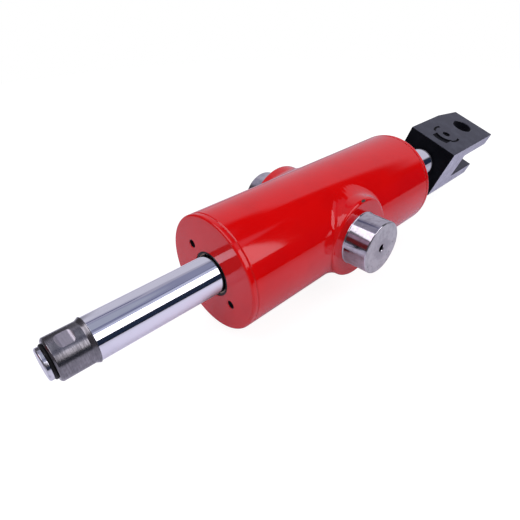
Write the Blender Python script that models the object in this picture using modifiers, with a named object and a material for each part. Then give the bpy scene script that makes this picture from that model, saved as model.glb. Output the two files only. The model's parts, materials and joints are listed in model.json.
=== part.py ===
"""Double-rod power steering cylinder with welded trunnions, a wrench-flat rod end and a fork clevis.

Units are metres. The origin is where the trunnion axis crosses the barrel axis. +X runs along the
rod towards its bright front end, +Y along the near trunnion and +Z up. The piston stands at the
middle of its travel.
"""

import math

import bmesh
import bpy

# Clearances, small edges and how far a cutter passes what it cuts
SEAT_GAP = 0.0003
RUNNING_GAP = 0.0003
EDGE_BREAK = 0.0006
OVERCUT = 0.020

# Barrel
BARREL_OUTER_R = 0.054
BARREL_WALL = 0.009
BARREL_LENGTH = 0.270
TRUNNION_TO_FRONT = 0.137

# Glands, measured inwards from their outer faces
FLANGE_T = 0.008
RIM_CHAMFER = 0.0018
PILOT_L = 0.024
NOSE_L = 0.012
NOSE_RELIEF = 0.006
GLAND_RING_SETBACK = 0.007
GLAND_RING_CORD = 0.0036
SPANNER_HOLE_R = 0.003
SPANNER_HOLE_DEPTH = 0.006
SPANNER_CIRCLE_R = 0.0312
SPANNER_TURN = math.radians(50.0)

# Rod seals, measured inwards from the gland's outer face
WIPER_SECTION = 0.0034
WIPER_WIDTH = 0.0064
SCRAPER_WALL = 0.0008
SCRAPER_SINK = 0.0012
ROD_SEAL_SECTION = 0.005
ROD_SEAL_WIDTH = 0.0065
LAND_W = 0.003
LAND_GAP = 0.0006
BUSH_WALL = 0.003

# Piston rod
ROD_R = 0.0175
ROD_SHOWN_FRONT = 0.1097
ROD_SHOWN_REAR = 0.078
SPIGOT_R = 0.0125
STUD_R = 0.012
STUD_L = 0.041
STUD_CHAMFER = 0.0015
ROD_END_CHAMFER = 0.002
TIP_L = 0.0032
TIP_CHAMFER = 0.0008
END_RING_CORD = 0.0020
END_RING_GROOVE_DEPTH = 0.0017

# Rod end adapter, measured outwards from its collar
ADAPTER_L = 0.028
ADAPTER_R = 0.0168
COLLAR_R = 0.0184
COLLAR_L = 0.0008
COLLAR_FLARE_L = 0.0022
ADAPTER_CHAMFER = 0.0013
FLAT_ACROSS = 0.0312
FLAT_START = 0.0088
FLAT_L = 0.012
FLAT_TURN = math.radians(75.0)

# Piston and its rings
PISTON_W = 0.036
PISTON_GAP = 0.0006
PISTON_CHAMFER = 0.001
PISTON_SEAL_SECTION = 0.0056
PISTON_SEAL_W = 0.0076
GUIDE_RING_T = 0.0022
GUIDE_RING_W = 0.0056
GUIDE_RING_OFFSET = 0.0105
SNAP_RING_T = 0.0016
SNAP_RING_SECTION = 0.0036
SNAP_GROOVE_DEPTH = 0.0015
SNAP_RING_OPENING = 0.007
SNAP_RECESS_DEPTH = 0.0030
PISTON_INNER_CORD = 0.0026

# Trunnions. The pin's stock starts at a height that the barrel's curve is then cut from
TRUNNION_SPAN = 0.160
TRUNNION_STOCK_START = 0.040
TRUNNION_PIN_R = 0.026
TRUNNION_ROOT_STEP = 0.0009
TRUNNION_ROOT_L = 0.002
TRUNNION_CHAMFER = 0.001
TRUNNION_BOSS_R = 0.0405
TRUNNION_BOSS_STAND = 0.001
TRUNNION_FILLET = 0.0062
TRUNNION_FACE_EDGE = 0.0005
FILLET_REACH_SHARE = 0.94
FILLET_RISE_SHARE = 0.9
CENTRE_HOLE_R = 0.0036
CENTRE_HOLE_DEPTH = 0.0045
CENTRE_DRILL_R = 0.0016
CENTRE_DRILL_DEPTH = 0.009

# Oil ports on the underside
PORT_BOSS_R = 0.014
PORT_BOSS_STAND = 0.0095
PORT_BORE_R = 0.008
PORT_FILLET = 0.0035
PORT_DRILL_R = 0.0045

# Clevis, measured back from its front face
CLEVIS_WIDTH = 0.066
CLEVIS_LENGTH = 0.108
CLEVIS_TURN = math.radians(-19.3)
CLEVIS_EDGE = 0.0008
SLOT_WIDTH = 0.034
SLOT_DEPTH = 0.061
SLOT_CORNER_R = 0.0015
CLEVIS_PIN_HOLE_R = 0.0125
CLEVIS_PIN_SETBACK = 0.028
SIDE_BEVEL_LENGTH = 0.039
SIDE_BEVEL_DEPTH = 0.0065
SET_SCREW_R = 0.0047
SET_SCREW_X = 0.0355
SET_SCREW_SINK = 0.0012
SET_SCREW_SOCKET_R = 0.0029
SET_SCREW_SOCKET_DEPTH = 0.004
MARK_GROOVE_R = 0.0155
MARK_GROOVE_W = 0.0020
MARK_GROOVE_DEPTH = 0.0010

# Facets around a full turn and along a curve
MAIN_STEPS = 32
SMALL_STEPS = 20
HOLE_STEPS = 12
HEXAGON = 6
CORD_FACETS = 5
SEEN_CORD_FACETS = 8
CORNER_STEPS = 3
FILLET_STEPS = 4
SEAT_STEPS = 4
SHARP_ANGLE = math.radians(35.0)

# Sizes that follow from the ones above
BORE_R = BARREL_OUTER_R - BARREL_WALL
FRONT_X = TRUNNION_TO_FRONT
REAR_X = FRONT_X - BARREL_LENGTH
PISTON_X = (FRONT_X + REAR_X) / 2.0
PILOT_R = BORE_R - SEAT_GAP
NOSE_R = PILOT_R - NOSE_RELIEF
PILOT_END = FLANGE_T + PILOT_L
GLAND_END = PILOT_END + NOSE_L
PORT_DEPTH = PILOT_END + NOSE_L / 2.0
COLLAR_X = FRONT_X + ROD_SHOWN_FRONT
ADAPTER_END_X = COLLAR_X + ADAPTER_L
END_RING_GROOVE_W = END_RING_CORD + 2.0 * SEAT_GAP
CLEVIS_X = REAR_X - ROD_SHOWN_REAR
PISTON_R = BORE_R - PISTON_GAP
BOSS_SEAT_R = BARREL_OUTER_R + SEAT_GAP
TRUNNION_FACE = BARREL_OUTER_R + TRUNNION_BOSS_STAND
TRUNNION_ROOT_R = TRUNNION_PIN_R + TRUNNION_ROOT_STEP

PARTS = "power_steering_cylinder"
CUTTERS = "cutters"


# Scene, collections and materials

def clear_scene():
    for obj in list(bpy.data.objects):
        bpy.data.objects.remove(obj)
    for name in (PARTS, CUTTERS):
        bpy.context.scene.collection.children.link(bpy.data.collections.new(name))


def material(name, color, roughness, metallic):
    """Principled material in one plain colour."""
    made = bpy.data.materials.get(name)
    if made is None:
        made = bpy.data.materials.new(name)
        made.use_nodes = True
        shader = made.node_tree.nodes["Principled BSDF"]
        shader.inputs["Base Color"].default_value = (*color, 1.0)
        shader.inputs["Roughness"].default_value = roughness
        shader.inputs["Metallic"].default_value = metallic
    return made


def red_paint():
    return material("red_paint", (0.62, 0.008, 0.008), 0.28, 0.0)


def chrome():
    return material("chrome_plate", (0.72, 0.72, 0.76), 0.12, 1.0)


def turned_steel():
    return material("turned_steel", (0.50, 0.50, 0.52), 0.30, 1.0)


def bare_steel():
    return material("bare_steel", (0.24, 0.23, 0.24), 0.48, 1.0)


def black_oxide():
    return material("black_oxide", (0.030, 0.033, 0.042), 0.40, 0.6)


def black_rubber():
    return material("black_rubber", (0.012, 0.012, 0.012), 0.55, 0.0)


def bronze():
    return material("bronze", (0.42, 0.26, 0.12), 0.35, 1.0)


def seal_plastic():
    return material("seal_plastic", (0.10, 0.16, 0.14), 0.45, 0.0)


# Frames: empties that carry the pieces

def frame(name, location, rotation, parent=None):
    empty = bpy.data.objects.new(name, None)
    empty.empty_display_size = 0.02
    empty.location = location
    empty.rotation_euler = rotation
    empty.parent = parent
    bpy.data.collections[PARTS].objects.link(empty)
    return empty


def add_object(name, mesh, parent, color=None, location=(0.0, 0.0, 0.0), rotation=(0.0, 0.0, 0.0)):
    """Piece when it has a material, else a cutter."""
    obj = bpy.data.objects.new(name, mesh)
    obj.parent = parent
    obj.location = location
    obj.rotation_euler = rotation
    if color is None:
        bpy.data.collections[CUTTERS].objects.link(obj)
        obj.hide_render = True
        obj.display_type = "WIRE"
    else:
        bpy.data.collections[PARTS].objects.link(obj)
        mesh.materials.append(color)
    return obj


# Shapes

def turned(name, profile, parent, color=None, steps=MAIN_STEPS, location=(0.0, 0.0, 0.0)):
    """Turns a profile of (radius, height) points about the local Z axis.

    The profile runs down the outer side first. It is a closed ring unless it starts on the axis.
    """
    mesh = bpy.data.meshes.new(name)
    count = len(profile)
    edges = [(i, i + 1) for i in range(count - 1)]
    if profile[0][0] > 0.0:
        edges.append((count - 1, 0))
    mesh.from_pydata([(radius, 0.0, height) for radius, height in profile], edges, [])
    obj = add_object(name, mesh, parent, color, location)
    screw = obj.modifiers.new("Turn", "SCREW")
    screw.axis = "Z"
    screw.angle = 2.0 * math.pi
    screw.steps = steps
    screw.render_steps = steps
    screw.use_merge_vertices = True
    screw.merge_threshold = 0.00001
    screw.use_smooth_shade = True
    return obj


def even_shading(obj):
    """Keeps flat faces flat on a smooth-shaded round piece."""
    shading = obj.modifiers.new("Shading", "WEIGHTED_NORMAL")
    shading.keep_sharp = True
    shading.weight = 100


def rod_cutter(name, radius, length, parent, location, rotation=(0.0, 0.0, 0.0), steps=MAIN_STEPS):
    """Round or polygonal bar along its local Z axis, centred on its location."""
    mesh = bpy.data.meshes.new(name)
    bm = bmesh.new()
    bmesh.ops.create_cone(bm, cap_ends=True, segments=steps, radius1=radius, radius2=radius, depth=length)
    bm.to_mesh(mesh)
    bm.free()
    return add_object(name, mesh, parent, None, location, rotation)


def block(name, size, parent, location, rotation=(0.0, 0.0, 0.0), color=None):
    """Box of the given size, centred on its location."""
    mesh = bpy.data.meshes.new(name)
    bm = bmesh.new()
    bmesh.ops.create_cube(bm, size=1.0)
    bmesh.ops.scale(bm, vec=size, verts=bm.verts)
    bm.to_mesh(mesh)
    bm.free()
    return add_object(name, mesh, parent, color, location, rotation)


def cut(target, *cutters):
    for cutter in cutters:
        step = target.modifiers.new(cutter.name, "BOOLEAN")
        step.operation = "DIFFERENCE"
        step.solver = "EXACT"
        step.object = cutter


def ring_section(inner_r, outer_r, low, high):
    """Rectangular ring profile, outer side first."""
    return [(outer_r, high), (outer_r, low), (inner_r, low), (inner_r, high)]


def round_section(inner_r, outer_r, low, high, facets=CORD_FACETS):
    """Ring profile of a round cord pressed between two radii and two heights."""
    middle_r = (inner_r + outer_r) / 2.0
    middle_h = (low + high) / 2.0
    points = []
    for i in range(facets):
        angle = math.pi / 2.0 - math.pi / facets - 2.0 * math.pi * i / facets
        points.append((middle_r + (outer_r - inner_r) / 2.0 * math.cos(angle),
                       middle_h + (high - low) / 2.0 * math.sin(angle)))
    return points


def saddle_boss(name, outer_r, bore_r, face, fillet, face_edge, parent, color, steps):
    """Round boss on the barrel, blended into it by a weld fillet.

    The local Z axis is the boss's and the local X axis the barrel's. Each ring is a loft section:
    a circle on the flat face, and a curve that rises and falls with the barrel at the foot.
    """
    def seat(radius, angle):
        across = radius * math.sin(angle)
        return math.sqrt(BOSS_SEAT_R ** 2 - across ** 2)

    def fillet_point(share, angle):
        reach = FILLET_REACH_SHARE * BOSS_SEAT_R
        across = abs(math.sin(angle))
        foot_r = min(outer_r + fillet, reach / across) if across > 0.0 else outer_r + fillet
        corner = seat(outer_r, angle)
        rise = min(fillet, FILLET_RISE_SHARE * max(face - face_edge - corner, 0.0))
        foot = seat(foot_r, angle)
        back = 1.0 - share
        radius = back * back * outer_r + 2.0 * back * share * outer_r + share * share * foot_r
        height = back * back * (corner + rise) + 2.0 * back * share * corner + share * share * foot
        return radius, max(height, seat(radius, angle))

    fillet_shares = [i / FILLET_STEPS for i in range(FILLET_STEPS + 1)]
    rings = []
    for i in range(steps):
        angle = 2.0 * math.pi * i / steps
        section = [(bore_r, face), (outer_r - face_edge, face), (outer_r, face - face_edge)]
        section += [fillet_point(share, angle) for share in fillet_shares]
        foot_r = section[-1][0]
        for k in range(1, SEAT_STEPS + 1):
            radius = foot_r + (bore_r - foot_r) * k / SEAT_STEPS
            section.append((radius, seat(radius, angle)))
        rings.append([(r * math.cos(angle), r * math.sin(angle), h) for r, h in section])

    bm = bmesh.new()
    verts = [[bm.verts.new(point) for point in ring] for ring in rings]
    count = len(verts[0])
    for i in range(steps):
        here, there = verts[i], verts[(i + 1) % steps]
        for k in range(count):
            bm.faces.new((here[k], here[(k + 1) % count], there[(k + 1) % count], there[k]))
    mesh = bpy.data.meshes.new(name)
    bmesh.ops.recalc_face_normals(bm, faces=bm.faces)
    bm.to_mesh(mesh)
    bm.free()
    mesh.shade_smooth()
    mesh.set_sharp_from_angle(angle=SHARP_ANGLE)
    return add_object(name, mesh, parent, color)


# Barrel and glands

def make_barrel(axis):
    front = FRONT_X - FLANGE_T - SEAT_GAP
    rear = REAR_X + FLANGE_T + SEAT_GAP
    profile = [
        (BARREL_OUTER_R - EDGE_BREAK, front),
        (BARREL_OUTER_R, front - EDGE_BREAK),
        (BARREL_OUTER_R, rear + EDGE_BREAK),
        (BARREL_OUTER_R - EDGE_BREAK, rear),
        (BORE_R, rear),
        (BORE_R, front),
    ]
    tube = turned("barrel_tube", profile, axis, red_paint())
    for name, x in port_places():
        drill = rod_cutter(name + "_drill", PORT_DRILL_R, BARREL_WALL + 2.0 * OVERCUT, axis,
                           (BORE_R + BARREL_WALL / 2.0, 0.0, x), (0.0, math.pi / 2.0, 0.0), SMALL_STEPS)
        cut(tube, drill)
    even_shading(tube)


def port_places():
    return (("front_port", FRONT_X - PORT_DEPTH), ("rear_port", REAR_X + PORT_DEPTH))


def make_gland(end, side):
    """Gland and its seals. Heights are zero at the outer face and fall towards the piston."""
    seal_top = WIPER_WIDTH + 2.0 * SEAT_GAP + LAND_W
    seal_low = seal_top + ROD_SEAL_WIDTH + 2.0 * SEAT_GAP
    bush_top = seal_low + LAND_W
    land_r = ROD_R + LAND_GAP
    ring_top = FLANGE_T + GLAND_RING_SETBACK
    ring_low = ring_top + GLAND_RING_CORD + 2.0 * SEAT_GAP
    ring_floor = PILOT_R - GLAND_RING_CORD
    profile = [
        (BARREL_OUTER_R - RIM_CHAMFER, 0.0),
        (BARREL_OUTER_R, -RIM_CHAMFER),
        (BARREL_OUTER_R, -FLANGE_T),
        (PILOT_R, -FLANGE_T),
        (PILOT_R, -ring_top),
        (ring_floor, -ring_top),
        (ring_floor, -ring_low),
        (PILOT_R, -ring_low),
        (PILOT_R, -PILOT_END),
        (NOSE_R, -PILOT_END),
        (NOSE_R, -GLAND_END),
        (ROD_R + RUNNING_GAP + BUSH_WALL + SEAT_GAP, -GLAND_END),
        (ROD_R + RUNNING_GAP + BUSH_WALL + SEAT_GAP, -bush_top),
        (land_r, -bush_top),
        (land_r, -seal_low),
        (ROD_R + ROD_SEAL_SECTION, -seal_low),
        (ROD_R + ROD_SEAL_SECTION, -seal_top),
        (land_r, -seal_top),
        (land_r, -WIPER_WIDTH - 2.0 * SEAT_GAP),
        (ROD_R + WIPER_SECTION, -WIPER_WIDTH - 2.0 * SEAT_GAP),
        (ROD_R + WIPER_SECTION, 0.0),
    ]
    gland = turned(side + "_gland", profile, end, red_paint())
    for number, turn in enumerate((SPANNER_TURN, SPANNER_TURN + math.pi)):
        place = (SPANNER_CIRCLE_R * math.cos(turn), SPANNER_CIRCLE_R * math.sin(turn), 0.0)
        hole = rod_cutter(f"{side}_spanner_hole_{number}", SPANNER_HOLE_R, 2.0 * SPANNER_HOLE_DEPTH,
                          end, place, steps=HOLE_STEPS)
        cut(gland, hole)
    even_shading(gland)

    wiper_floor = -WIPER_WIDTH - SEAT_GAP
    scraper_r = ROD_R + RUNNING_GAP + SCRAPER_WALL
    wiper_outer = ROD_R + WIPER_SECTION - SEAT_GAP
    wiper_lip = wiper_outer - EDGE_BREAK
    turned(side + "_wiper", [
        (wiper_lip, -SEAT_GAP),
        (wiper_outer, -SEAT_GAP - EDGE_BREAK),
        (wiper_outer, wiper_floor),
        (scraper_r + SEAT_GAP, wiper_floor),
        (scraper_r + SEAT_GAP, -SEAT_GAP),
    ], end, black_rubber(), SMALL_STEPS)
    turned(side + "_scraper", ring_section(ROD_R + RUNNING_GAP, scraper_r, wiper_floor, -SCRAPER_SINK),
           end, bronze(), SMALL_STEPS)
    seal_outer = ROD_R + ROD_SEAL_SECTION - SEAT_GAP
    seal_notch = (ROD_R + RUNNING_GAP + seal_outer) / 2.0
    turned(side + "_rod_seal", [
        (seal_outer, -seal_top - SEAT_GAP),
        (seal_outer, -seal_low + SEAT_GAP),
        (seal_notch, -seal_low + SEAT_GAP + ROD_SEAL_WIDTH / 3.0),
        (ROD_R + RUNNING_GAP, -seal_low + SEAT_GAP),
        (ROD_R + RUNNING_GAP, -seal_top - SEAT_GAP),
    ], end, seal_plastic(), SMALL_STEPS)
    turned(side + "_rod_bush", ring_section(ROD_R + RUNNING_GAP, ROD_R + RUNNING_GAP + BUSH_WALL,
                                            -GLAND_END + SEAT_GAP, -bush_top - SEAT_GAP),
           end, bronze(), SMALL_STEPS)
    turned(side + "_gland_ring", round_section(ring_floor + SEAT_GAP, PILOT_R,
                                               -ring_low + SEAT_GAP, -ring_top - SEAT_GAP),
           end, black_rubber())


# Trunnions and ports

def make_trunnion(carrier, side):
    """Pin and boss. The local Z axis points out along the trunnion."""
    saddle_boss(side + "_trunnion_boss", TRUNNION_BOSS_R, TRUNNION_ROOT_R + SEAT_GAP, TRUNNION_FACE,
                TRUNNION_FILLET, TRUNNION_FACE_EDGE, carrier, red_paint(), MAIN_STEPS)
    end = TRUNNION_SPAN / 2.0
    root_top = TRUNNION_FACE + TRUNNION_ROOT_L
    profile = [
        (0.0, end - CENTRE_DRILL_DEPTH),
        (CENTRE_DRILL_R, end - CENTRE_DRILL_DEPTH),
        (CENTRE_DRILL_R, end - CENTRE_HOLE_DEPTH),
        (CENTRE_HOLE_R, end),
        (TRUNNION_PIN_R - TRUNNION_CHAMFER, end),
        (TRUNNION_PIN_R, end - TRUNNION_CHAMFER),
        (TRUNNION_PIN_R, root_top + TRUNNION_ROOT_STEP),
        (TRUNNION_ROOT_R, root_top),
        (TRUNNION_ROOT_R, TRUNNION_STOCK_START),
        (0.0, TRUNNION_STOCK_START),
    ]
    pin = turned(side + "_trunnion_pin", profile, carrier, turned_steel())
    seat = rod_cutter(side + "_trunnion_seat", BOSS_SEAT_R, 2.0 * (TRUNNION_PIN_R + OVERCUT), carrier,
                      (0.0, 0.0, 0.0), (0.0, math.pi / 2.0, 0.0), 2 * MAIN_STEPS)
    cut(pin, seat)
    even_shading(pin)


def make_port(carrier, side):
    """Weld-on oil port. The local Z axis points out of its hole."""
    saddle_boss(side + "_boss", PORT_BOSS_R, PORT_BORE_R, BARREL_OUTER_R + PORT_BOSS_STAND,
                PORT_FILLET, EDGE_BREAK, carrier, red_paint(), SMALL_STEPS)


# Piston rod, rod end and piston

def make_rod(axis):
    shoulder = COLLAR_X - SEAT_GAP
    groove_low = ADAPTER_END_X
    groove_top = ADAPTER_END_X + END_RING_GROOVE_W
    tip = groove_top + TIP_L
    rod_end = CLEVIS_X + SEAT_GAP
    profile = [
        (0.0, tip),
        (SPIGOT_R - TIP_CHAMFER, tip),
        (SPIGOT_R, tip - TIP_CHAMFER),
        (SPIGOT_R, groove_top),
        (SPIGOT_R - END_RING_GROOVE_DEPTH, groove_top),
        (SPIGOT_R - END_RING_GROOVE_DEPTH, groove_low),
        (SPIGOT_R, groove_low),
        (SPIGOT_R, shoulder),
        (ROD_R, shoulder),
    ]
    for direction in (1.0, -1.0):
        face = PISTON_X + direction * (PISTON_W / 2.0 - SNAP_RECESS_DEPTH)
        near = face
        far = face + direction * (SNAP_RING_T + 2.0 * SEAT_GAP)
        high, low = max(near, far), min(near, far)
        profile += [
            (ROD_R, high),
            (ROD_R - SNAP_GROOVE_DEPTH, high),
            (ROD_R - SNAP_GROOVE_DEPTH, low),
            (ROD_R, low),
        ]
    profile += [
        (ROD_R, rod_end + ROD_END_CHAMFER),
        (ROD_R - ROD_END_CHAMFER, rod_end),
        (STUD_R, rod_end),
        (STUD_R, CLEVIS_X - STUD_L + STUD_CHAMFER),
        (STUD_R - STUD_CHAMFER, CLEVIS_X - STUD_L),
        (0.0, CLEVIS_X - STUD_L),
    ]
    even_shading(turned("piston_rod", profile, axis, chrome()))


def make_rod_end(axis):
    profile = [
        (ADAPTER_R - ADAPTER_CHAMFER, ADAPTER_END_X),
        (ADAPTER_R, ADAPTER_END_X - ADAPTER_CHAMFER),
        (ADAPTER_R, COLLAR_X + COLLAR_L + COLLAR_FLARE_L),
        (COLLAR_R, COLLAR_X + COLLAR_L),
        (COLLAR_R, COLLAR_X),
        (SPIGOT_R + SEAT_GAP, COLLAR_X),
        (SPIGOT_R + SEAT_GAP, ADAPTER_END_X),
    ]
    adapter = turned("rod_end_adapter", profile, axis, bare_steel())
    middle = COLLAR_X + FLAT_START + FLAT_L / 2.0
    depth = 2.0 * ADAPTER_R
    for number, turn in enumerate((FLAT_TURN, FLAT_TURN + math.pi)):
        reach = FLAT_ACROSS / 2.0 + depth / 2.0
        place = (-reach * math.sin(turn), reach * math.cos(turn), middle)
        flat = block(f"wrench_flat_{number}", (2.0 * ADAPTER_R, depth, FLAT_L), axis, place,
                     (0.0, 0.0, turn))
        cut(adapter, flat)
    even_shading(adapter)

    groove_floor = SPIGOT_R - END_RING_GROOVE_DEPTH
    middle = ADAPTER_END_X + END_RING_GROOVE_W / 2.0
    inner = groove_floor + SEAT_GAP
    turned("rod_end_ring", round_section(inner, inner + END_RING_CORD, middle - END_RING_CORD / 2.0,
                                         middle + END_RING_CORD / 2.0, SEEN_CORD_FACETS),
           axis, black_rubber(), SMALL_STEPS)


def make_piston(carrier):
    """Piston and the pieces fixed to it. Heights are zero at its middle."""
    half = PISTON_W / 2.0
    seal_half = PISTON_SEAL_W / 2.0 + SEAT_GAP
    guide_half = GUIDE_RING_W / 2.0 + SEAT_GAP
    seal_floor = BORE_R - RUNNING_GAP - PISTON_SEAL_SECTION - SEAT_GAP
    guide_floor = BORE_R - RUNNING_GAP - GUIDE_RING_T - SEAT_GAP
    recess_r = ROD_R - SNAP_GROOVE_DEPTH + SEAT_GAP + SNAP_RING_SECTION + SEAT_GAP
    bore_r = ROD_R + SEAT_GAP
    cord_half = PISTON_INNER_CORD / 2.0 + SEAT_GAP
    cord_floor = ROD_R + PISTON_INNER_CORD
    profile = [(PISTON_R - PISTON_CHAMFER, half), (PISTON_R, half - PISTON_CHAMFER)]
    for height, reach, floor in ((GUIDE_RING_OFFSET, guide_half, guide_floor),
                                 (0.0, seal_half, seal_floor),
                                 (-GUIDE_RING_OFFSET, guide_half, guide_floor)):
        profile += [
            (PISTON_R, height + reach),
            (floor, height + reach),
            (floor, height - reach),
            (PISTON_R, height - reach),
        ]
    profile += [
        (PISTON_R, -half + PISTON_CHAMFER),
        (PISTON_R - PISTON_CHAMFER, -half),
        (recess_r, -half),
        (recess_r, -half + SNAP_RECESS_DEPTH),
        (bore_r, -half + SNAP_RECESS_DEPTH),
        (bore_r, -cord_half),
        (cord_floor, -cord_half),
        (cord_floor, cord_half),
        (bore_r, cord_half),
        (bore_r, half - SNAP_RECESS_DEPTH),
        (recess_r, half - SNAP_RECESS_DEPTH),
        (recess_r, half),
    ]
    even_shading(turned("piston", profile, carrier, turned_steel(), SMALL_STEPS))
    turned("piston_inner_ring", round_section(ROD_R + SEAT_GAP, cord_floor - SEAT_GAP,
                                              -PISTON_INNER_CORD / 2.0, PISTON_INNER_CORD / 2.0),
           carrier, black_rubber(), SMALL_STEPS)
    for side, direction in (("front", 1.0), ("rear", -1.0)):
        centre = direction * (half - SNAP_RECESS_DEPTH + SEAT_GAP + SNAP_RING_T / 2.0)
        inner = ROD_R - SNAP_GROOVE_DEPTH + SEAT_GAP
        ring = turned(side + "_snap_ring",
                      ring_section(inner, inner + SNAP_RING_SECTION,
                                   centre - SNAP_RING_T / 2.0, centre + SNAP_RING_T / 2.0),
                      carrier, bare_steel(), SMALL_STEPS)
        opening = block(side + "_snap_ring_opening", (ROD_R, SNAP_RING_OPENING, SNAP_RING_T + 2.0 * OVERCUT),
                        carrier, (ROD_R + SNAP_RING_SECTION / 2.0, 0.0, centre))
        cut(ring, opening)


def make_piston_rings(carrier):
    """Seal and guide rings that slide with the piston and stay still when the rod is turned."""
    outer = BORE_R - RUNNING_GAP
    turned("piston_seal", ring_section(outer - PISTON_SEAL_SECTION, outer, -PISTON_SEAL_W / 2.0,
                                       PISTON_SEAL_W / 2.0),
           carrier, seal_plastic())
    for side, height in (("front", GUIDE_RING_OFFSET), ("rear", -GUIDE_RING_OFFSET)):
        turned(side + "_guide_ring", ring_section(outer - GUIDE_RING_T, outer, height - GUIDE_RING_W / 2.0,
                                                  height + GUIDE_RING_W / 2.0),
               carrier, bronze())


# Clevis

def make_clevis(carrier):
    """Fork block behind the rod, with its set screw.

    The local X axis is the barrel's, zero at the block's front face and negative towards the
    fork's open end. The fork's pin hole runs along the local Z axis.
    """
    half = CLEVIS_WIDTH / 2.0
    body = block("clevis", (CLEVIS_LENGTH, CLEVIS_WIDTH, CLEVIS_WIDTH), carrier,
                 (-CLEVIS_LENGTH / 2.0, 0.0, 0.0), color=black_oxide())
    edges = body.modifiers.new("Edges", "BEVEL")
    edges.width = CLEVIS_EDGE
    edges.segments = 1

    root = CLEVIS_LENGTH - SLOT_DEPTH
    reach = CLEVIS_WIDTH + 2.0 * OVERCUT
    slot_reach = SLOT_DEPTH + OVERCUT
    slot = block("clevis_slot", (slot_reach, reach, SLOT_WIDTH), carrier,
                 (-root - slot_reach / 2.0, 0.0, 0.0))
    corners = slot.modifiers.new("Corners", "BEVEL")
    corners.width = SLOT_CORNER_R
    corners.segments = CORNER_STEPS

    pin_hole = rod_cutter("clevis_pin_hole", CLEVIS_PIN_HOLE_R, reach, carrier,
                          (CLEVIS_PIN_SETBACK - CLEVIS_LENGTH, 0.0, 0.0))
    stud_hole = rod_cutter("clevis_stud_hole", STUD_R + SEAT_GAP, 2.0 * (root + OVERCUT), carrier,
                           (0.0, 0.0, 0.0), (0.0, math.pi / 2.0, 0.0))
    screw_hole = rod_cutter("clevis_screw_hole", SET_SCREW_R + SEAT_GAP, CLEVIS_WIDTH, carrier,
                            (-SET_SCREW_X, 0.0, CLEVIS_WIDTH / 2.0), steps=SMALL_STEPS)

    slope = math.atan2(SIDE_BEVEL_DEPTH, SIDE_BEVEL_LENGTH)
    wedge_w = SIDE_BEVEL_DEPTH + OVERCUT
    wedge_l = 2.0 * (SIDE_BEVEL_LENGTH + OVERCUT)
    start = SIDE_BEVEL_LENGTH - CLEVIS_LENGTH
    place = (start - wedge_w / 2.0 * math.sin(slope), -half - wedge_w / 2.0 * math.cos(slope), 0.0)
    wedge = block("clevis_side_bevel", (wedge_l, wedge_w, reach), carrier, place, (0.0, 0.0, -slope))

    mark = turned("clevis_ring_groove",
                  ring_section(MARK_GROOVE_R - MARK_GROOVE_W / 2.0, MARK_GROOVE_R + MARK_GROOVE_W / 2.0,
                               half - MARK_GROOVE_DEPTH, half + MARK_GROOVE_DEPTH),
                  carrier, location=(-SET_SCREW_X, 0.0, 0.0))
    cut(body, slot, pin_hole, stud_hole, screw_hole, wedge, mark)

    top = half - SET_SCREW_SINK
    low = STUD_R + SEAT_GAP
    profile = [
        (0.0, top),
        (SET_SCREW_R - EDGE_BREAK, top),
        (SET_SCREW_R, top - EDGE_BREAK),
        (SET_SCREW_R, low + EDGE_BREAK),
        (SET_SCREW_R - EDGE_BREAK, low),
        (0.0, low),
    ]
    screw = turned("clevis_set_screw", profile, carrier, bare_steel(), SMALL_STEPS, (-SET_SCREW_X, 0.0, 0.0))
    socket = rod_cutter("set_screw_socket", SET_SCREW_SOCKET_R, 2.0 * SET_SCREW_SOCKET_DEPTH, carrier,
                        (-SET_SCREW_X, 0.0, top), steps=HEXAGON)
    cut(screw, socket)


def main():
    clear_scene()
    quarter = math.pi / 2.0
    barrel_axis = frame("barrel_axis", (0.0, 0.0, 0.0), (0.0, quarter, 0.0))
    make_barrel(barrel_axis)
    make_gland(frame("front_end", (FRONT_X, 0.0, 0.0), (0.0, quarter, 0.0)), "front")
    make_gland(frame("rear_end", (REAR_X, 0.0, 0.0), (0.0, -quarter, 0.0)), "rear")
    make_trunnion(frame("near_trunnion", (0.0, 0.0, 0.0), (-quarter, 0.0, 0.0)), "near")
    make_trunnion(frame("far_trunnion", (0.0, 0.0, 0.0), (quarter, 0.0, 0.0)), "far")
    for name, x in port_places():
        make_port(frame(name, (x, 0.0, 0.0), (math.pi, 0.0, 0.0)), name)

    slide = frame("piston_slide", (PISTON_X, 0.0, 0.0), (0.0, quarter, 0.0))
    make_piston_rings(slide)
    turn = frame("rod_turn", (0.0, 0.0, 0.0), (0.0, 0.0, 0.0), slide)
    make_piston(turn)
    rod_axis = frame("rod_axis", (0.0, 0.0, -PISTON_X), (0.0, 0.0, 0.0), turn)
    make_rod(rod_axis)
    make_rod_end(rod_axis)
    make_clevis(frame("clevis_turn", (0.0, 0.0, CLEVIS_X), (CLEVIS_TURN, -quarter, 0.0), rod_axis))


main()
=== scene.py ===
"""Shapes, finishes and studio of a double-rod power steering cylinder with welded trunnions.

Lengths are metres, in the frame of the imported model: +X runs along the rod towards its bright end,
+Y along the near trunnion and +Z up.
"""

import json
import logging
import math
from contextlib import contextmanager
from dataclasses import dataclass
from enum import Enum
from typing import Callable, Iterable, Iterator, Mapping, Sequence

import bpy
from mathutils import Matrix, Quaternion, Vector

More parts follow.
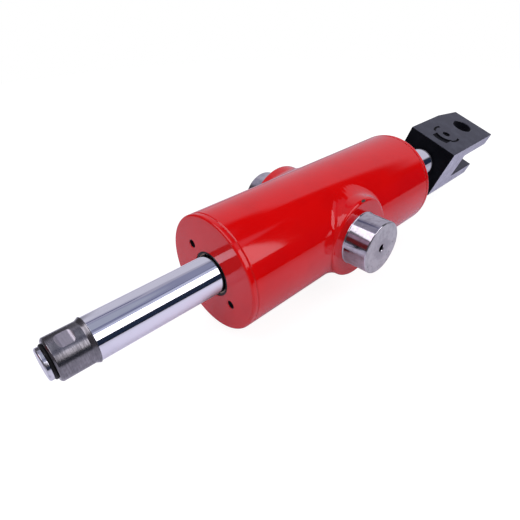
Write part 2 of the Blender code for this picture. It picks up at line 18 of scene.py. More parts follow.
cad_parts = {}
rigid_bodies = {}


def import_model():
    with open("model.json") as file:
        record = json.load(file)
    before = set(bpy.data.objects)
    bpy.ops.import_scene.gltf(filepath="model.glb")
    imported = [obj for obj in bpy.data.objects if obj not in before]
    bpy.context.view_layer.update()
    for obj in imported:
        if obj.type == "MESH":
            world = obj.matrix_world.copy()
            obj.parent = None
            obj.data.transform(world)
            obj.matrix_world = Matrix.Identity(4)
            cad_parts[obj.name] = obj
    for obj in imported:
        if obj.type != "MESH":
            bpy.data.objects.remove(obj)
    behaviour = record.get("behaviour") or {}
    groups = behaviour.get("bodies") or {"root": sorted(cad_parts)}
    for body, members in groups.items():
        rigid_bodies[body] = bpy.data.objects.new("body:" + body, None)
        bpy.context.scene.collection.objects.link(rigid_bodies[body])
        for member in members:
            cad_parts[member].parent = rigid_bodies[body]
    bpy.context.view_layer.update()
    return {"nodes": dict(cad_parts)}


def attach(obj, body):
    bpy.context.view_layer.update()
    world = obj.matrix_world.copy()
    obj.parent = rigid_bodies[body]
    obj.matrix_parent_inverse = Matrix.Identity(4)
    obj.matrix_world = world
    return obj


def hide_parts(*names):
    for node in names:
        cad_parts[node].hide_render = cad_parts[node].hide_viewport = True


LOG = logging.getLogger("steering_cylinder")
OVERCUT = 0.020
FACE_MARGIN = 0.0002
RING_STEPS = 96

Colour = tuple[float, float, float]
Point = tuple[float, float]
Place = tuple[float, float, float]
Profile = list[Point]
FaceTest = Callable[[Vector, Vector], bool]


class Body(Enum):
    """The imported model's bodies that carry visible pieces."""

    BARREL = "barrel"
    ROD = "rod"


class Slot(Enum):
    """The record's material slots, passed along with the visible pieces."""

    RED_PAINT = "red_paint"
    CHROME = "chrome"
    TURNED_STEEL = "turned_steel"
    BARE_STEEL = "bare_steel"
    BLACK_OXIDE = "black_oxide"
    BLACK_RUBBER = "black_rubber"
    BRONZE = "bronze"


class Pointing(Enum):
    """Turns that lay a turned piece's axis along one of the cylinder's directions."""

    FRONT = (0.0, math.pi / 2.0, 0.0)
    NEAR = (-math.pi / 2.0, 0.0, 0.0)
    UP = (0.0, 0.0, 0.0)
    DOWN = (math.pi, 0.0, 0.0)


# Shader graphs


class Signal:
    """One output socket of a shader graph, on which arithmetic adds Math nodes."""

    def __init__(self, graph: "Graph", socket: bpy.types.NodeSocket) -> None:
        """Keep the graph and its socket."""
        self.graph = graph
        self.socket = socket

    def _math(self, operation: str, *values: "Signal | float") -> "Signal":
        """Return the result of one Math node."""
        return self.graph.node("ShaderNodeMath", {"operation": operation}, dict(enumerate(values)))

    def __add__(self, other: "Signal | float") -> "Signal":
        """Return self + other."""
        return self._math("ADD", self, other)

    __radd__ = __add__

    def __sub__(self, other: "Signal | float") -> "Signal":
        """Return self - other."""
        return self._math("SUBTRACT", self, other)

    def __rsub__(self, other: "Signal | float") -> "Signal":
        """Return other - self."""
        return self._math("SUBTRACT", other, self)

    def __mul__(self, other: "Signal | float") -> "Signal":
        """Return self * other."""
        return self._math("MULTIPLY", self, other)

    def __abs__(self) -> "Signal":
        """Return the value without its sign."""
        return self._math("ABSOLUTE", self)

    def most(self, other: "Signal | float") -> "Signal":
        """Return the larger of two values."""
        return self._math("MAXIMUM", self, other)

    def root(self) -> "Signal":
        """Return the square root."""
        return self._math("SQRT", self)

    def arcsine(self) -> "Signal":
        """Return the arcsine in radians."""
        return self._math("ARCSINE", self)

    def heading(self, across: "Signal") -> "Signal":
        """Return the angle in radians whose tangent is self over across."""
        return self._math("ARCTAN2", self, across)

    def wrapped(self, high: float, low: float) -> "Signal":
        """Return the value brought between low and high by whole turns."""
        return self._math("WRAP", self, high, low)

    def rise(self, low: float, high: float) -> "Signal":
        """Return a smooth step from 0 at low to 1 at high."""
        return self.graph.node("ShaderNodeMapRange", {"interpolation_type": "SMOOTHSTEP"},
                               {0: self, 1: low, 2: high, 3: 0.0, 4: 1.0})

    def band(self, low: float, high: float, soft: float) -> "Signal":
        """Return 1 between low and high and 0 outside, with soft edges."""
        return self.rise(low - soft, low + soft) * (1.0 - self.rise(high - soft, high + soft))


class Graph:
    """The node graph of one material or world."""

    def __init__(self, owner: bpy.types.Material | bpy.types.World) -> None:
        """Empty the owner's nodes and keep its tree."""
        owner.use_nodes = True
        self.tree = owner.node_tree
        self.tree.nodes.clear()

    def node(self, kind: str, settings: Mapping[str, object] | None = None,
             sockets: Mapping[int | str, object] | None = None, output: int | str = 0) -> Signal:
        """Add any node.

        Args:
            kind: The node's type.
            settings: Its properties, which are set before the sockets.
            sockets: A value, colour or signal for each named or numbered input.
            output: The output that is wanted.

        Returns:
            The signal of that output.
        """
        node = self.tree.nodes.new(kind)
        for name, value in (settings or {}).items():
            setattr(node, name, value)
        for key, value in (sockets or {}).items():
            socket = node.inputs[key]
            if isinstance(value, Signal):
                self.tree.links.new(value.socket, socket)
            elif socket.type == "RGBA":
                socket.default_value = (*value, 1.0)
            else:
                socket.default_value = value
        return Signal(self, node.outputs[output])

    def rays(self) -> tuple[Signal, Signal]:
        """Return whether the camera sees this directly, and whether bright metal mirrors it."""
        path = self.node("ShaderNodeLightPath").socket.node.outputs
        seen, glossy, through = (Signal(self, path[f"Is {kind} Ray"])
                                 for kind in ("Camera", "Glossy", "Transmission"))
        return seen, glossy.most(through)

    def place(self) -> Signal:
        """Return the place on the cylinder, in metres."""
        return self.node("ShaderNodeTexCoord", output="Object")

    def split(self, vector: Signal) -> tuple[Signal, Signal, Signal]:
        """Return a vector's three parts."""
        first = self.node("ShaderNodeSeparateXYZ", sockets={0: vector})
        return tuple(Signal(self, socket) for socket in first.socket.node.outputs)

    def joined(self, x: Signal | float, y: Signal | float, z: Signal | float) -> Signal:
        """Return a vector made of three values."""
        return self.node("ShaderNodeCombineXYZ", sockets={0: x, 1: y, 2: z})

    def scaled(self, vector: Signal, scale: Place) -> Signal:
        """Return a vector stretched along its axes."""
        return self.node("ShaderNodeMapping", sockets={"Vector": vector, "Scale": scale})

    def distance(self, vector: Signal, place: Place) -> Signal:
        """Return the distance from a place."""
        return self.node("ShaderNodeVectorMath", {"operation": "DISTANCE"}, {0: vector, 1: place}, "Value")

    def noise(self, vector: Signal, scale: float, detail: float = 2.0, roughness: float = 0.5) -> Signal:
        """Return a cloud pattern between 0 and 1.

        Args:
            vector: Where the pattern is read.
            scale: Waves in a metre, or in one unit of the vector.
            detail: Octaves of finer waves.
            roughness: How strong the finer waves are.

        Returns:
            The pattern.
        """
        return self.node("ShaderNodeTexNoise", sockets={
            "Vector": vector, "Scale": scale, "Detail": detail, "Roughness": roughness})

    def spots(self, vector: Signal, scale: float) -> Signal:
        """Return the distance to the nearest of many scattered points."""
        return self.node("ShaderNodeTexVoronoi", sockets={"Vector": vector, "Scale": scale},
                         output="Distance")

    def blend(self, share: Signal | float, first: Signal | Colour, second: Signal | Colour) -> Signal:
        """Return the second colour over the first by a share."""
        return self.node("ShaderNodeMix", {"data_type": "RGBA"}, {0: share, 6: first, 7: second}, 2)

    def bump(self, height: Signal) -> Signal:
        """Return the normal of a surface raised by a height in metres."""
        return self.node("ShaderNodeBump", sockets={"Strength": 1.0, "Distance": 1.0, "Height": height})

    def surface(self, **sockets: object) -> None:
        """Finish a material with a Principled shader.

        Args:
            sockets: Values and signals by input name, with underscores for its spaces.
        """
        named = {name.replace("_", " "): value for name, value in sockets.items()}
        shader = self.node("ShaderNodeBsdfPrincipled", sockets=named)
        self.node_out("ShaderNodeOutputMaterial", shader)

    def node_out(self, kind: str, shader: Signal) -> None:
        """Add the output node and link the shader to it."""
        target = self.tree.nodes.new(kind)
        self.tree.links.new(shader.socket, target.inputs["Surface"])


# Finishes


@dataclass(frozen=True)
class Finish:
    """One surface finish, made as a material on first use."""

    name: str

    def material(self) -> bpy.types.Material:
        """Return the finish's material."""
        made = bpy.data.materials.get(self.name)
        if made is None:
            made = bpy.data.materials.new(self.name)
            self.build(Graph(made))
        return made

    def build(self, graph: Graph) -> None:
        """Fill the material's graph."""
        raise NotImplementedError


@dataclass(frozen=True)
class RedEnamel(Finish):
    """Thick gloss enamel sprayed over welds and turned faces, with one bare chip."""

    name: str = "red_enamel"
    colour: Colour = (0.645, 0.0012, 0.0012)
    thin_colour: Colour = (0.595, 0.0009, 0.0012)
    metal: Colour = (0.055, 0.062, 0.055)
    roughness: float = 0.07
    peel: float = 5.0e-6
    chip_place: Place = (0.0, 0.0543, 0.0397)
    chip_stretch: Place = (0.42, 1.0, 1.0)
    chip_radius: float = 0.0014
    chip_raggedness: float = 0.0010

    def build(self, graph: Graph) -> None:
        """Fill the material's graph."""
        place = graph.place()
        drift = graph.noise(place, 34.0, 2.0)
        peel = graph.noise(place, 430.0, 1.0)
        waves = graph.noise(place, 75.0, 1.0)
        dust = graph.noise(place, 1900.0, 0.0).rise(0.80, 0.86)
        ragged = graph.noise(place, 1600.0, 2.0)
        away = graph.distance(graph.scaled(place, self.chip_stretch), self.chip_place)
        away = away + (ragged - 0.5) * self.chip_raggedness
        chip = 1.0 - away.rise(self.chip_radius * 0.8, self.chip_radius * 1.15)
        paint = graph.blend(drift.rise(0.35, 0.7), self.colour, self.thin_colour)
        height = peel * self.peel + waves * (3.0 * self.peel) + dust * (3.0 * self.peel) - chip * 6.0e-5
        graph.surface(
            Base_Color=graph.blend(chip, paint, self.metal),
            Roughness=self.roughness + drift * 0.02 + dust * 0.12 + chip * 0.35,
            Metallic=chip * 0.5,
            Normal=graph.bump(height),
            IOR=1.5)


@dataclass(frozen=True)
class Waves:
    """One cloud pattern of a two-tone finish, and how strongly it acts on each property."""

    scale: float = 1.0
    stretch: Place | None = None
    detail: float = 2.0
    roughness: float = 0.5
    turned: bool = False
    laid: float = 0.0
    tone: float = 0.0
    dulling: float = 0.0
    height: float = 0.0

    def pattern(self, graph: Graph) -> Signal:
        """Lay out the pattern, which follows lathe tools if turned and lies at an angle if laid.

        Args:
            graph: The material's graph.

        Returns:
            The pattern, between 0 and 1.
        """
        place = graph.place()
        if self.turned:
            x, y, z = graph.split(place)
            place = graph.joined(x, (y * y + z * z).root(), 0.0)
        if self.laid:
            place = graph.node("ShaderNodeMapping",
                               sockets={"Vector": place, "Rotation": (self.laid, 0.0, 0.0)})
        if self.stretch:
            place = graph.scaled(place, self.stretch)
        return graph.noise(place, self.scale, self.detail, self.roughness)


@dataclass(frozen=True)
class TwoTone(Finish):
    """A finish of two mixed colours, whose patterns also dull and raise it."""

    colour: Colour = (0.5, 0.5, 0.5)
    second_colour: Colour = (0.5, 0.5, 0.5)
    mixing: Point = (0.4, 0.7)
    roughness: float = 0.4
    metallic: float = 1.0
    sheen: float = 0.5
    waves: tuple[Waves, ...] = ()

    def build(self, graph: Graph) -> None:
        """Fill the material's graph."""
        patterns = [(wave, wave.pattern(graph)) for wave in self.waves]
        tone, dullness, height = (
            sum(pattern * getattr(wave, part) for wave, pattern in patterns if getattr(wave, part))
            for part in ("tone", "dulling", "height"))
        graph.surface(
            Base_Color=graph.blend(tone.rise(*self.mixing), self.colour, self.second_colour),
            Roughness=self.roughness + dullness,
            Metallic=self.metallic,
            Normal=graph.bump(height),
            IOR=1.5,
            Specular_IOR_Level=self.sheen)


@dataclass(frozen=True)
class HardChrome(TwoTone):
    """Ground and polished hard chrome, with fine grinding lines round the rod."""

    name: str = "hard_chrome"
    colour: Colour = (0.83, 0.83, 0.87)
    second_colour: Colour = (0.76, 0.76, 0.81)
    mixing: Point = (0.45, 0.85)
    roughness: float = 0.04
    waves: tuple[Waves, ...] = (
        Waves(stretch=(5200.0, 60.0, 60.0), dulling=0.03, height=2.2e-7),
        Waves(stretch=(60.0, 140.0, 140.0), detail=3.0, tone=1.0, dulling=0.02))


@dataclass(frozen=True)
class BrightNose(TwoTone):
    """Bright turned steel of the rod's shouldered nose."""

    name: str = "bright_nose_steel"
    colour: Colour = (0.72, 0.72, 0.76)
    second_colour: Colour = (0.50, 0.50, 0.54)
    roughness: float = 0.10
    waves: tuple[Waves, ...] = (
        Waves(6500.0, detail=1.0, turned=True, dulling=0.10, height=1.2e-6),
        Waves(260.0, detail=3.0, tone=1.0))


@dataclass(frozen=True)
class TurnedPin(Finish):
    """Turned steel of the trunnion pins, with lathe lines, stains and small pits."""

    name: str = "turned_pin_steel"
    colour: Colour = (0.56, 0.53, 0.565)
    stained: Colour = (0.44, 0.40, 0.43)
    faced: Colour = (0.53, 0.53, 0.52)
    faced_dull: Colour = (0.38, 0.375, 0.38)
    pit_colour: Colour = (0.05, 0.045, 0.05)
    roughness: float = 0.07
    end_start: float = 0.0797

    def build(self, graph: Graph) -> None:
        """Fill the material's graph."""
        place = graph.place()
        x, y, z = graph.split(place)
        radius = (x * x + z * z).root()
        end = abs(y).rise(self.end_start - FACE_MARGIN, self.end_start)
        lines = graph.noise(graph.joined(abs(y) * 5200.0, radius * 4200.0, 0.0), 1.0, 1.0)
        cloud = graph.noise(place, 120.0, 4.0, 0.6)
        stain = graph.noise(place, 330.0, 3.0, 0.65)
        middle = (1.0 - radius.rise(0.006, 0.016)) * end
        low_side = (0.003 - z - x * 0.3).rise(0.0, 0.016) * radius.rise(0.012, 0.018)
        pits = (1.0 - graph.spots(place, 270.0).rise(0.16, 0.28)) * cloud.rise(0.44, 0.50) * low_side * end
        scratches = graph.noise(graph.scaled(place, (2100.0, 1.0, 170.0)), 1.0, 1.0).rise(0.64, 0.70) * end
        worn = (cloud * 0.6 + stain * 0.4 + middle * 0.14).rise(0.40, 0.66)
        worn = worn.most(scratches * 0.8)
        tone = graph.blend(end, graph.blend(worn, self.colour, self.stained),
                           graph.blend(worn, self.faced, self.faced_dull))
        graph.surface(
            Base_Color=graph.blend(pits, tone, self.pit_colour),
            Roughness=self.roughness + lines * 0.05 + stain.rise(0.45, 0.7) * 0.06 + end * 0.22 + pits * 0.3,
            Metallic=1.0 - pits * 0.6,
            Normal=graph.bump(lines * 0.8e-6 + stain * end * 6.0e-6 - pits * 8.0e-5))


@dataclass(frozen=True)
class DullSteel(TwoTone):
    """Dull grey machined steel with streaks round the rod end."""

    name: str = "dull_machined_steel"
    colour: Colour = (0.30, 0.29, 0.30)
    second_colour: Colour = (0.18, 0.175, 0.185)
    mixing: Point = (0.38, 0.62)
    roughness: float = 0.15
    waves: tuple[Waves, ...] = (
        Waves(stretch=(1700.0, 120.0, 120.0), detail=3.0, roughness=0.6,
              tone=0.6, dulling=0.12, height=2.4e-6),
        Waves(190.0, detail=3.0, roughness=0.6, tone=0.4, dulling=0.06),
        Waves(stretch=(7000.0, 500.0, 500.0), detail=1.0, height=1.2e-6))


@dataclass(frozen=True)
class MilledFlatPaintedLight(DullSteel):
    """Milled steel of the wrench flats, lighter than the adapter partly from fresh milling and partly as
    painted light that the flats catch.
    """

    name: str = "milled_flat_steel"
    colour: Colour = (0.42, 0.39, 0.42)
    second_colour: Colour = (0.34, 0.32, 0.34)
    roughness: float = 0.26


@dataclass(frozen=True)
class BlackOxide(TwoTone):
    """Black oxide over milled steel, with a satin sheen and stains."""

    name: str = "black_oxide_steel"
    colour: Colour = (0.018, 0.020, 0.036)
    second_colour: Colour = (0.040, 0.044, 0.066)
    mixing: Point = (0.42, 0.72)
    roughness: float = 0.30
    metallic: float = 0.0
    waves: tuple[Waves, ...] = (
        Waves(70.0, detail=4.0, roughness=0.6, tone=1.0, dulling=0.12),
        Waves(900.0, dulling=0.06, height=4.0e-6),
        Waves(stretch=(160.0, 1900.0, 1900.0), height=2.5e-6))


@dataclass(frozen=True)
class PaintedShadeOxide(BlackOxide):
    """Black oxide darkened to near black with most of its sheen cut, laid as painted shade in holes,
    grooves, on the sunk set screw and on the fork's front.
    """

    name: str = "flat_black_oxide_steel"
    colour: Colour = (0.0015, 0.002, 0.004)
    second_colour: Colour = (0.004, 0.005, 0.008)
    roughness: float = 0.50
    sheen: float = 0.08


@dataclass(frozen=True)
class SawnSteel(TwoTone):
    """Bare sawn steel with parallel saw lines across the bar."""

    name: str = "sawn_steel"
    colour: Colour = (0.50, 0.50, 0.57)
    second_colour: Colour = (0.80, 0.80, 0.88)
    mixing: Point = (0.36, 0.64)
    roughness: float = 0.42
    waves: tuple[Waves, ...] = (
        Waves(stretch=(1500.0, 60.0, 60.0), detail=3.0, roughness=0.7, laid=math.radians(19.3),
              tone=0.65, height=1.2e-5),
        Waves(150.0, detail=3.0, roughness=0.6, tone=0.35, dulling=0.14))


@dataclass(frozen=True)
class BlackRubber(TwoTone):
    """Smooth moulded rubber with a faint bloom."""

    name: str = "moulded_black_rubber"
    colour: Colour = (0.004, 0.004, 0.005)
    second_colour: Colour = (0.010, 0.010, 0.012)
    roughness: float = 0.42
    metallic: float = 0.0
    sheen: float = 0.2
    waves: tuple[Waves, ...] = (
        Waves(280.0, detail=3.0, tone=1.0, dulling=0.14),
        Waves(2200.0, detail=1.0, height=3.0e-6))


@dataclass(frozen=True)
class BearingBronze(TwoTone):
    """Turned bronze, browned between its tool lines."""

    name: str = "bearing_bronze"
    colour: Colour = (0.52, 0.33, 0.15)
    second_colour: Colour = (0.26, 0.15, 0.07)
    mixing: Point = (0.4, 0.68)
    roughness: float = 0.26
    waves: tuple[Waves, ...] = (
        Waves(5200.0, turned=True, dulling=0.12, height=2.0e-6),
        Waves(240.0, detail=3.0, tone=1.0))


@dataclass(frozen=True)
class ScraperBronze(BearingBronze):
    """Pale fine-turned bronze of the scraper rims."""

    name: str = "pale_scraper_bronze"
    colour: Colour = (0.86, 0.68, 0.52)
    second_colour: Colour = (0.62, 0.46, 0.34)
    roughness: float = 0.42


@dataclass(frozen=True)
class SealPlastic(TwoTone):
    """Filled seal plastic, grey-green and slightly mottled."""

    name: str = "filled_seal_plastic"
    colour: Colour = (0.075, 0.135, 0.115)
    second_colour: Colour = (0.13, 0.20, 0.18)
    mixing: Point = (0.4, 0.68)
    roughness: float = 0.40
    metallic: float = 0.0
    waves: tuple[Waves, ...] = (
        Waves(700.0, detail=3.0, roughness=0.65, tone=1.0, dulling=0.15, height=4.0e-6),)


# Shop tools: turning, cutting and handing over


def select_only(*pieces: bpy.types.Object) -> None:
    """Select these pieces and nothing else, and make the first one active."""
    for other in bpy.context.view_layer.objects:
        other.select_set(False)
    for piece in pieces:
        piece.select_set(True)
    bpy.context.view_layer.objects.active = pieces[0] if pieces else None


@contextmanager
def editing(piece: bpy.types.Object) -> Iterator[None]:
    """Open a piece in edit mode with all of it selected, and close it again.

    Args:
        piece: The piece.
    """
    select_only(piece)
    bpy.ops.object.mode_set(mode="EDIT")
    bpy.ops.mesh.select_all(action="SELECT")
    yield
    bpy.ops.object.mode_set(mode="OBJECT")


def eased(profile: Sequence[Point], radius: float, ring: bool = False, segments: int = 3) -> Profile:
    """Round the corners of a profile.

    Args:
        profile: Points of (radius, height).
        radius: How far a rounding reaches along each side, at most 0.4 of the side.
        ring: Whether the profile closes on itself. The last point then repeats the first.
        segments: Steps in each rounding.

    Returns:
        The eased profile.
    """
    points = [Vector(point) for point in profile]
    count = len(points)
    made: list[Vector] = []
    for i, corner in enumerate(points):
        if not ring and i in (0, count - 1):
            made.append(corner)
            continue
        before = points[i - 1] - corner
        after = points[(i + 1) % count] - corner
        start = corner + before.normalized() * min(radius, 0.4 * before.length)
        stop = corner + after.normalized() * min(radius, 0.4 * after.length)
        for k in range(segments + 1):
            share = k / segments
            made.append((1 - share) ** 2 * start + 2 * share * (1 - share) * corner + share ** 2 * stop)
    if ring:
        made.append(made[0])
    return [(point.x, point.y) for point in made]


def arc(centre: Point, radius: float, start: float, stop: float, segments: int) -> Profile:
    """Return points along a circle.

    Args:
        centre: The circle's middle.
        radius: The circle's radius.
        start: First angle in degrees.
        stop: Last angle in degrees.
        segments: Steps between the two.

    Returns:
        The points, first and last included.
    """
    angles = [math.radians(start + (stop - start) * i / segments) for i in range(segments + 1)]
    return [(centre[0] + radius * math.cos(a), centre[1] + radius * math.sin(a)) for a in angles]


def lathe(name: str, profile: Sequence[Point], steps: int, pointing: Pointing = Pointing.UP,
          place: Place = (0.0, 0.0, 0.0)) -> bpy.types.Object:
    """Turn a profile about its axis.

    Args:
        name: The piece's name.
        profile: Points of (radius, height). A ring's last point repeats its first.
        steps: Facets round the full turn.
        pointing: Where the axis points.
        place: Where height zero of the axis stands.

    Returns:
        The turned piece, with its place in its mesh.
    """
    select_only()
    bpy.ops.mesh.primitive_plane_add(size=0.001, location=(profile[0][0], 0.0, profile[0][1]))
    piece = bpy.context.object
    piece.name = piece.data.name = name
    bpy.ops.object.transform_apply(location=True, rotation=False, scale=False)
    with editing(piece):
        bpy.ops.mesh.select_mode(type="VERT")
        bpy.ops.mesh.merge(type="CENTER")
        for (radius, height), (next_radius, next_height) in zip(profile, profile[1:]):
            step = (next_radius - radius, 0.0, next_height - height)
            bpy.ops.mesh.extrude_region_move(TRANSFORM_OT_translate={"value": step})
        bpy.ops.mesh.select_all(action="SELECT")
        bpy.ops.mesh.spin(steps=steps, angle=2.0 * math.pi, center=(0.0, 0.0, 0.0), axis=(0.0, 0.0, 1.0))
        bpy.ops.mesh.select_all(action="SELECT")
        bpy.ops.mesh.remove_doubles(threshold=1.0e-6)
        bpy.ops.mesh.normals_make_consistent(inside=False)
    settle(piece, pointing.value, place)
    return piece


def settle(piece: bpy.types.Object, turn: Place, place: Place) -> None:
    """Turn and move a piece, and put both into its mesh.

    Args:
        piece: The piece.
        turn: Turns about X, Y and Z in radians.
        place: Where its origin goes.
    """
    select_only(piece)
    piece.rotation_euler = turn
    piece.location = place
    bpy.ops.object.transform_apply(location=True, rotation=True, scale=True)


def block(name: str, size: Place, place: Place, edge: float = 0.0, segments: int = 3) -> bpy.types.Object:
    """Make a box with rounded edges.

    Args:
        name: The box's name.
        size: Its lengths along X, Y and Z.
        place: Its middle.
        edge: How far the rounding of its edges reaches, or 0 for sharp ones.
        segments: Steps in each rounding.

    Returns:
        The box.
    """
    select_only()
    bpy.ops.mesh.primitive_cube_add(size=1.0, location=place, scale=size)
    piece = bpy.context.object
    piece.name = piece.data.name = name
    bpy.ops.object.transform_apply(location=True, rotation=False, scale=True)
    if edge > 0.0:
        with editing(piece):
            bpy.ops.mesh.bevel(offset=edge, segments=segments, affect="EDGES")
    return piece


def apply_modifier(piece: bpy.types.Object, kind: str, **settings: object) -> None:
    """Add a modifier to a piece and apply it.

    Args:
        piece: The piece.
        kind: The modifier's type.
        settings: Its properties.
    """
    select_only(piece)
    step = piece.modifiers.new(kind, kind)
    for name, value in settings.items():
        setattr(step, name, value)
    bpy.ops.object.modifier_apply(modifier=step.name)


def cut(piece: bpy.types.Object, *cutters: bpy.types.Object) -> None:
    """Cut shapes out of a piece, and remove the cutters.

    Args:
        piece: The piece.
        cutters: Closed shapes.
    """
    for cutter in cutters:
        apply_modifier(piece, "BOOLEAN", operation="DIFFERENCE", solver="EXACT", object=cutter)
        bpy.data.meshes.remove(cutter.data)


def smooth(piece: bpy.types.Object, angle: float = 32.0) -> None:
    """Shade a piece smooth, except across edges sharper than an angle.

    Args:
        piece: The piece.
        angle: The angle in degrees.
    """
    select_only(piece)
    bpy.ops.object.shade_smooth_by_angle(angle=math.radians(angle))
    apply_modifier(piece, "WEIGHTED_NORMAL", keep_sharp=True, weight=60)


def dress(piece: bpy.types.Object, finish: Finish, others: Iterable[tuple[Finish, FaceTest]] = ()) -> None:
    """Give a piece its finishes.

    Args:
        piece: The piece.
        finish: The finish of all its faces.
        others: More finishes, each with a test of a face's middle and normal that says where it goes.
    """
    piece.data.materials.clear()
    piece.data.materials.append(finish.material())
    for face in piece.data.polygons:
        face.material_index = 0
    for number, (other, chosen) in enumerate(others, start=1):
        piece.data.materials.append(other.material())
        for face in piece.data.polygons:
            if chosen(face.center, face.normal):
                face.material_index = number


def second(piece: bpy.types.Object, name: str, turn: Place, shift: Place) -> bpy.types.Object:
    """Copy a dressed piece to its second place.

    Args:
        piece: The first piece.
        name: The copy's name.
        turn: How the copy is turned about the origin, in radians.
        shift: How far it is moved after that.

    Returns:
        The copy, with its own mesh.
    """
    select_only(piece)
    bpy.ops.object.duplicate(linked=False)
    copy = bpy.context.object
    copy.name = copy.data.name = name
    settle(copy, turn, shift)
    return copy


def hand_over(piece: bpy.types.Object, body: Body, slot: Slot, *nodes: str, mirrored: bool = True) -> None:
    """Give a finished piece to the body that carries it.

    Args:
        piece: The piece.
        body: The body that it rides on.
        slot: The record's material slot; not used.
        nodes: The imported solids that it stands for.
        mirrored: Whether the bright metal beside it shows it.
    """
    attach(piece, body.value)
    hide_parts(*nodes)
    piece.visible_glossy = mirrored
    LOG.info("%s: %d faces, rides on %s", piece.name, len(piece.data.polygons), body.value)


def hand_over_pair(piece: bpy.types.Object, slot: Slot, node: str, sides: tuple[str, str],
                   turn: float = 0.0, shift: float = 0.0, mirrored: bool = True) -> None:
    """Copy a finished piece of the barrel to its other side and hand both over.

    Args:
        piece: The piece on the first side, with that side in its name.
        slot: The record's material slot.
        node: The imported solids' name without the side.
        sides: The names of the first and the other side.
        turn: How the copy is turned about the upright axis, in radians.
        shift: How far it is moved along the rod after that.
        mirrored: Whether the bright metal beside it shows it.
    """
    other = second(piece, piece.name.replace(*sides), (0.0, 0.0, turn), (shift, 0.0, 0.0))
    for side, made in zip(sides, (piece, other)):
        hand_over(made, Body.BARREL, slot, f"{side}_{node}", mirrored=mirrored)


# Barrel and glands


@dataclass(frozen=True)
class Barrel:
    """The drawn tube between the glands."""

    outer_radius: float = 0.054
    bore_radius: float = 0.045
    front: float = 0.1319
    rear: float = -0.1279
    bevel_length: float = 0.0009
    bevel_drop: float = 0.0007
    edge: float = 0.0003
    drill_radius: float = 0.0045
    drill_span: tuple[float, float] = (0.040, 0.060)
    port_places: tuple[float, float] = (0.099, -0.095)
    steps: int = 160

    def build(self) -> None:
        """Turn the tube, drill its ports and paint it."""
        brim = self.outer_radius - self.bevel_drop
        profile = [
            (brim - self.edge, self.front),
            (brim, self.front - self.edge),
            (self.outer_radius, self.front - self.edge - self.bevel_length),
            (self.outer_radius, self.rear + self.edge + self.bevel_length),
            (brim, self.rear + self.edge),
            (brim - self.edge, self.rear),
            (self.bore_radius, self.rear),
            (self.bore_radius, self.front),
        ]
        tube = lathe("painted_barrel_tube", eased(profile, self.edge, ring=True), self.steps, Pointing.FRONT)
        low, high = self.drill_span
        drill = [(0.0, low), (self.drill_radius, low), (self.drill_radius, high), (0.0, high)]
        cut(tube, *(lathe("port_drill", drill, 32, Pointing.DOWN, (x, 0.0, 0.0)) for x in self.port_places))
        smooth(tube)
        dress(tube, RedEnamel(), [(DullSteel(), self.inside)])
        hand_over(tube, Body.BARREL, Slot.RED_PAINT, "barrel_tube", mirrored=False)

    def inside(self, middle: Vector, normal: Vector) -> bool:
        """Tell whether a face is in the bore, which is bare."""
        return math.hypot(middle.y, middle.z) < self.bore_radius + FACE_MARGIN


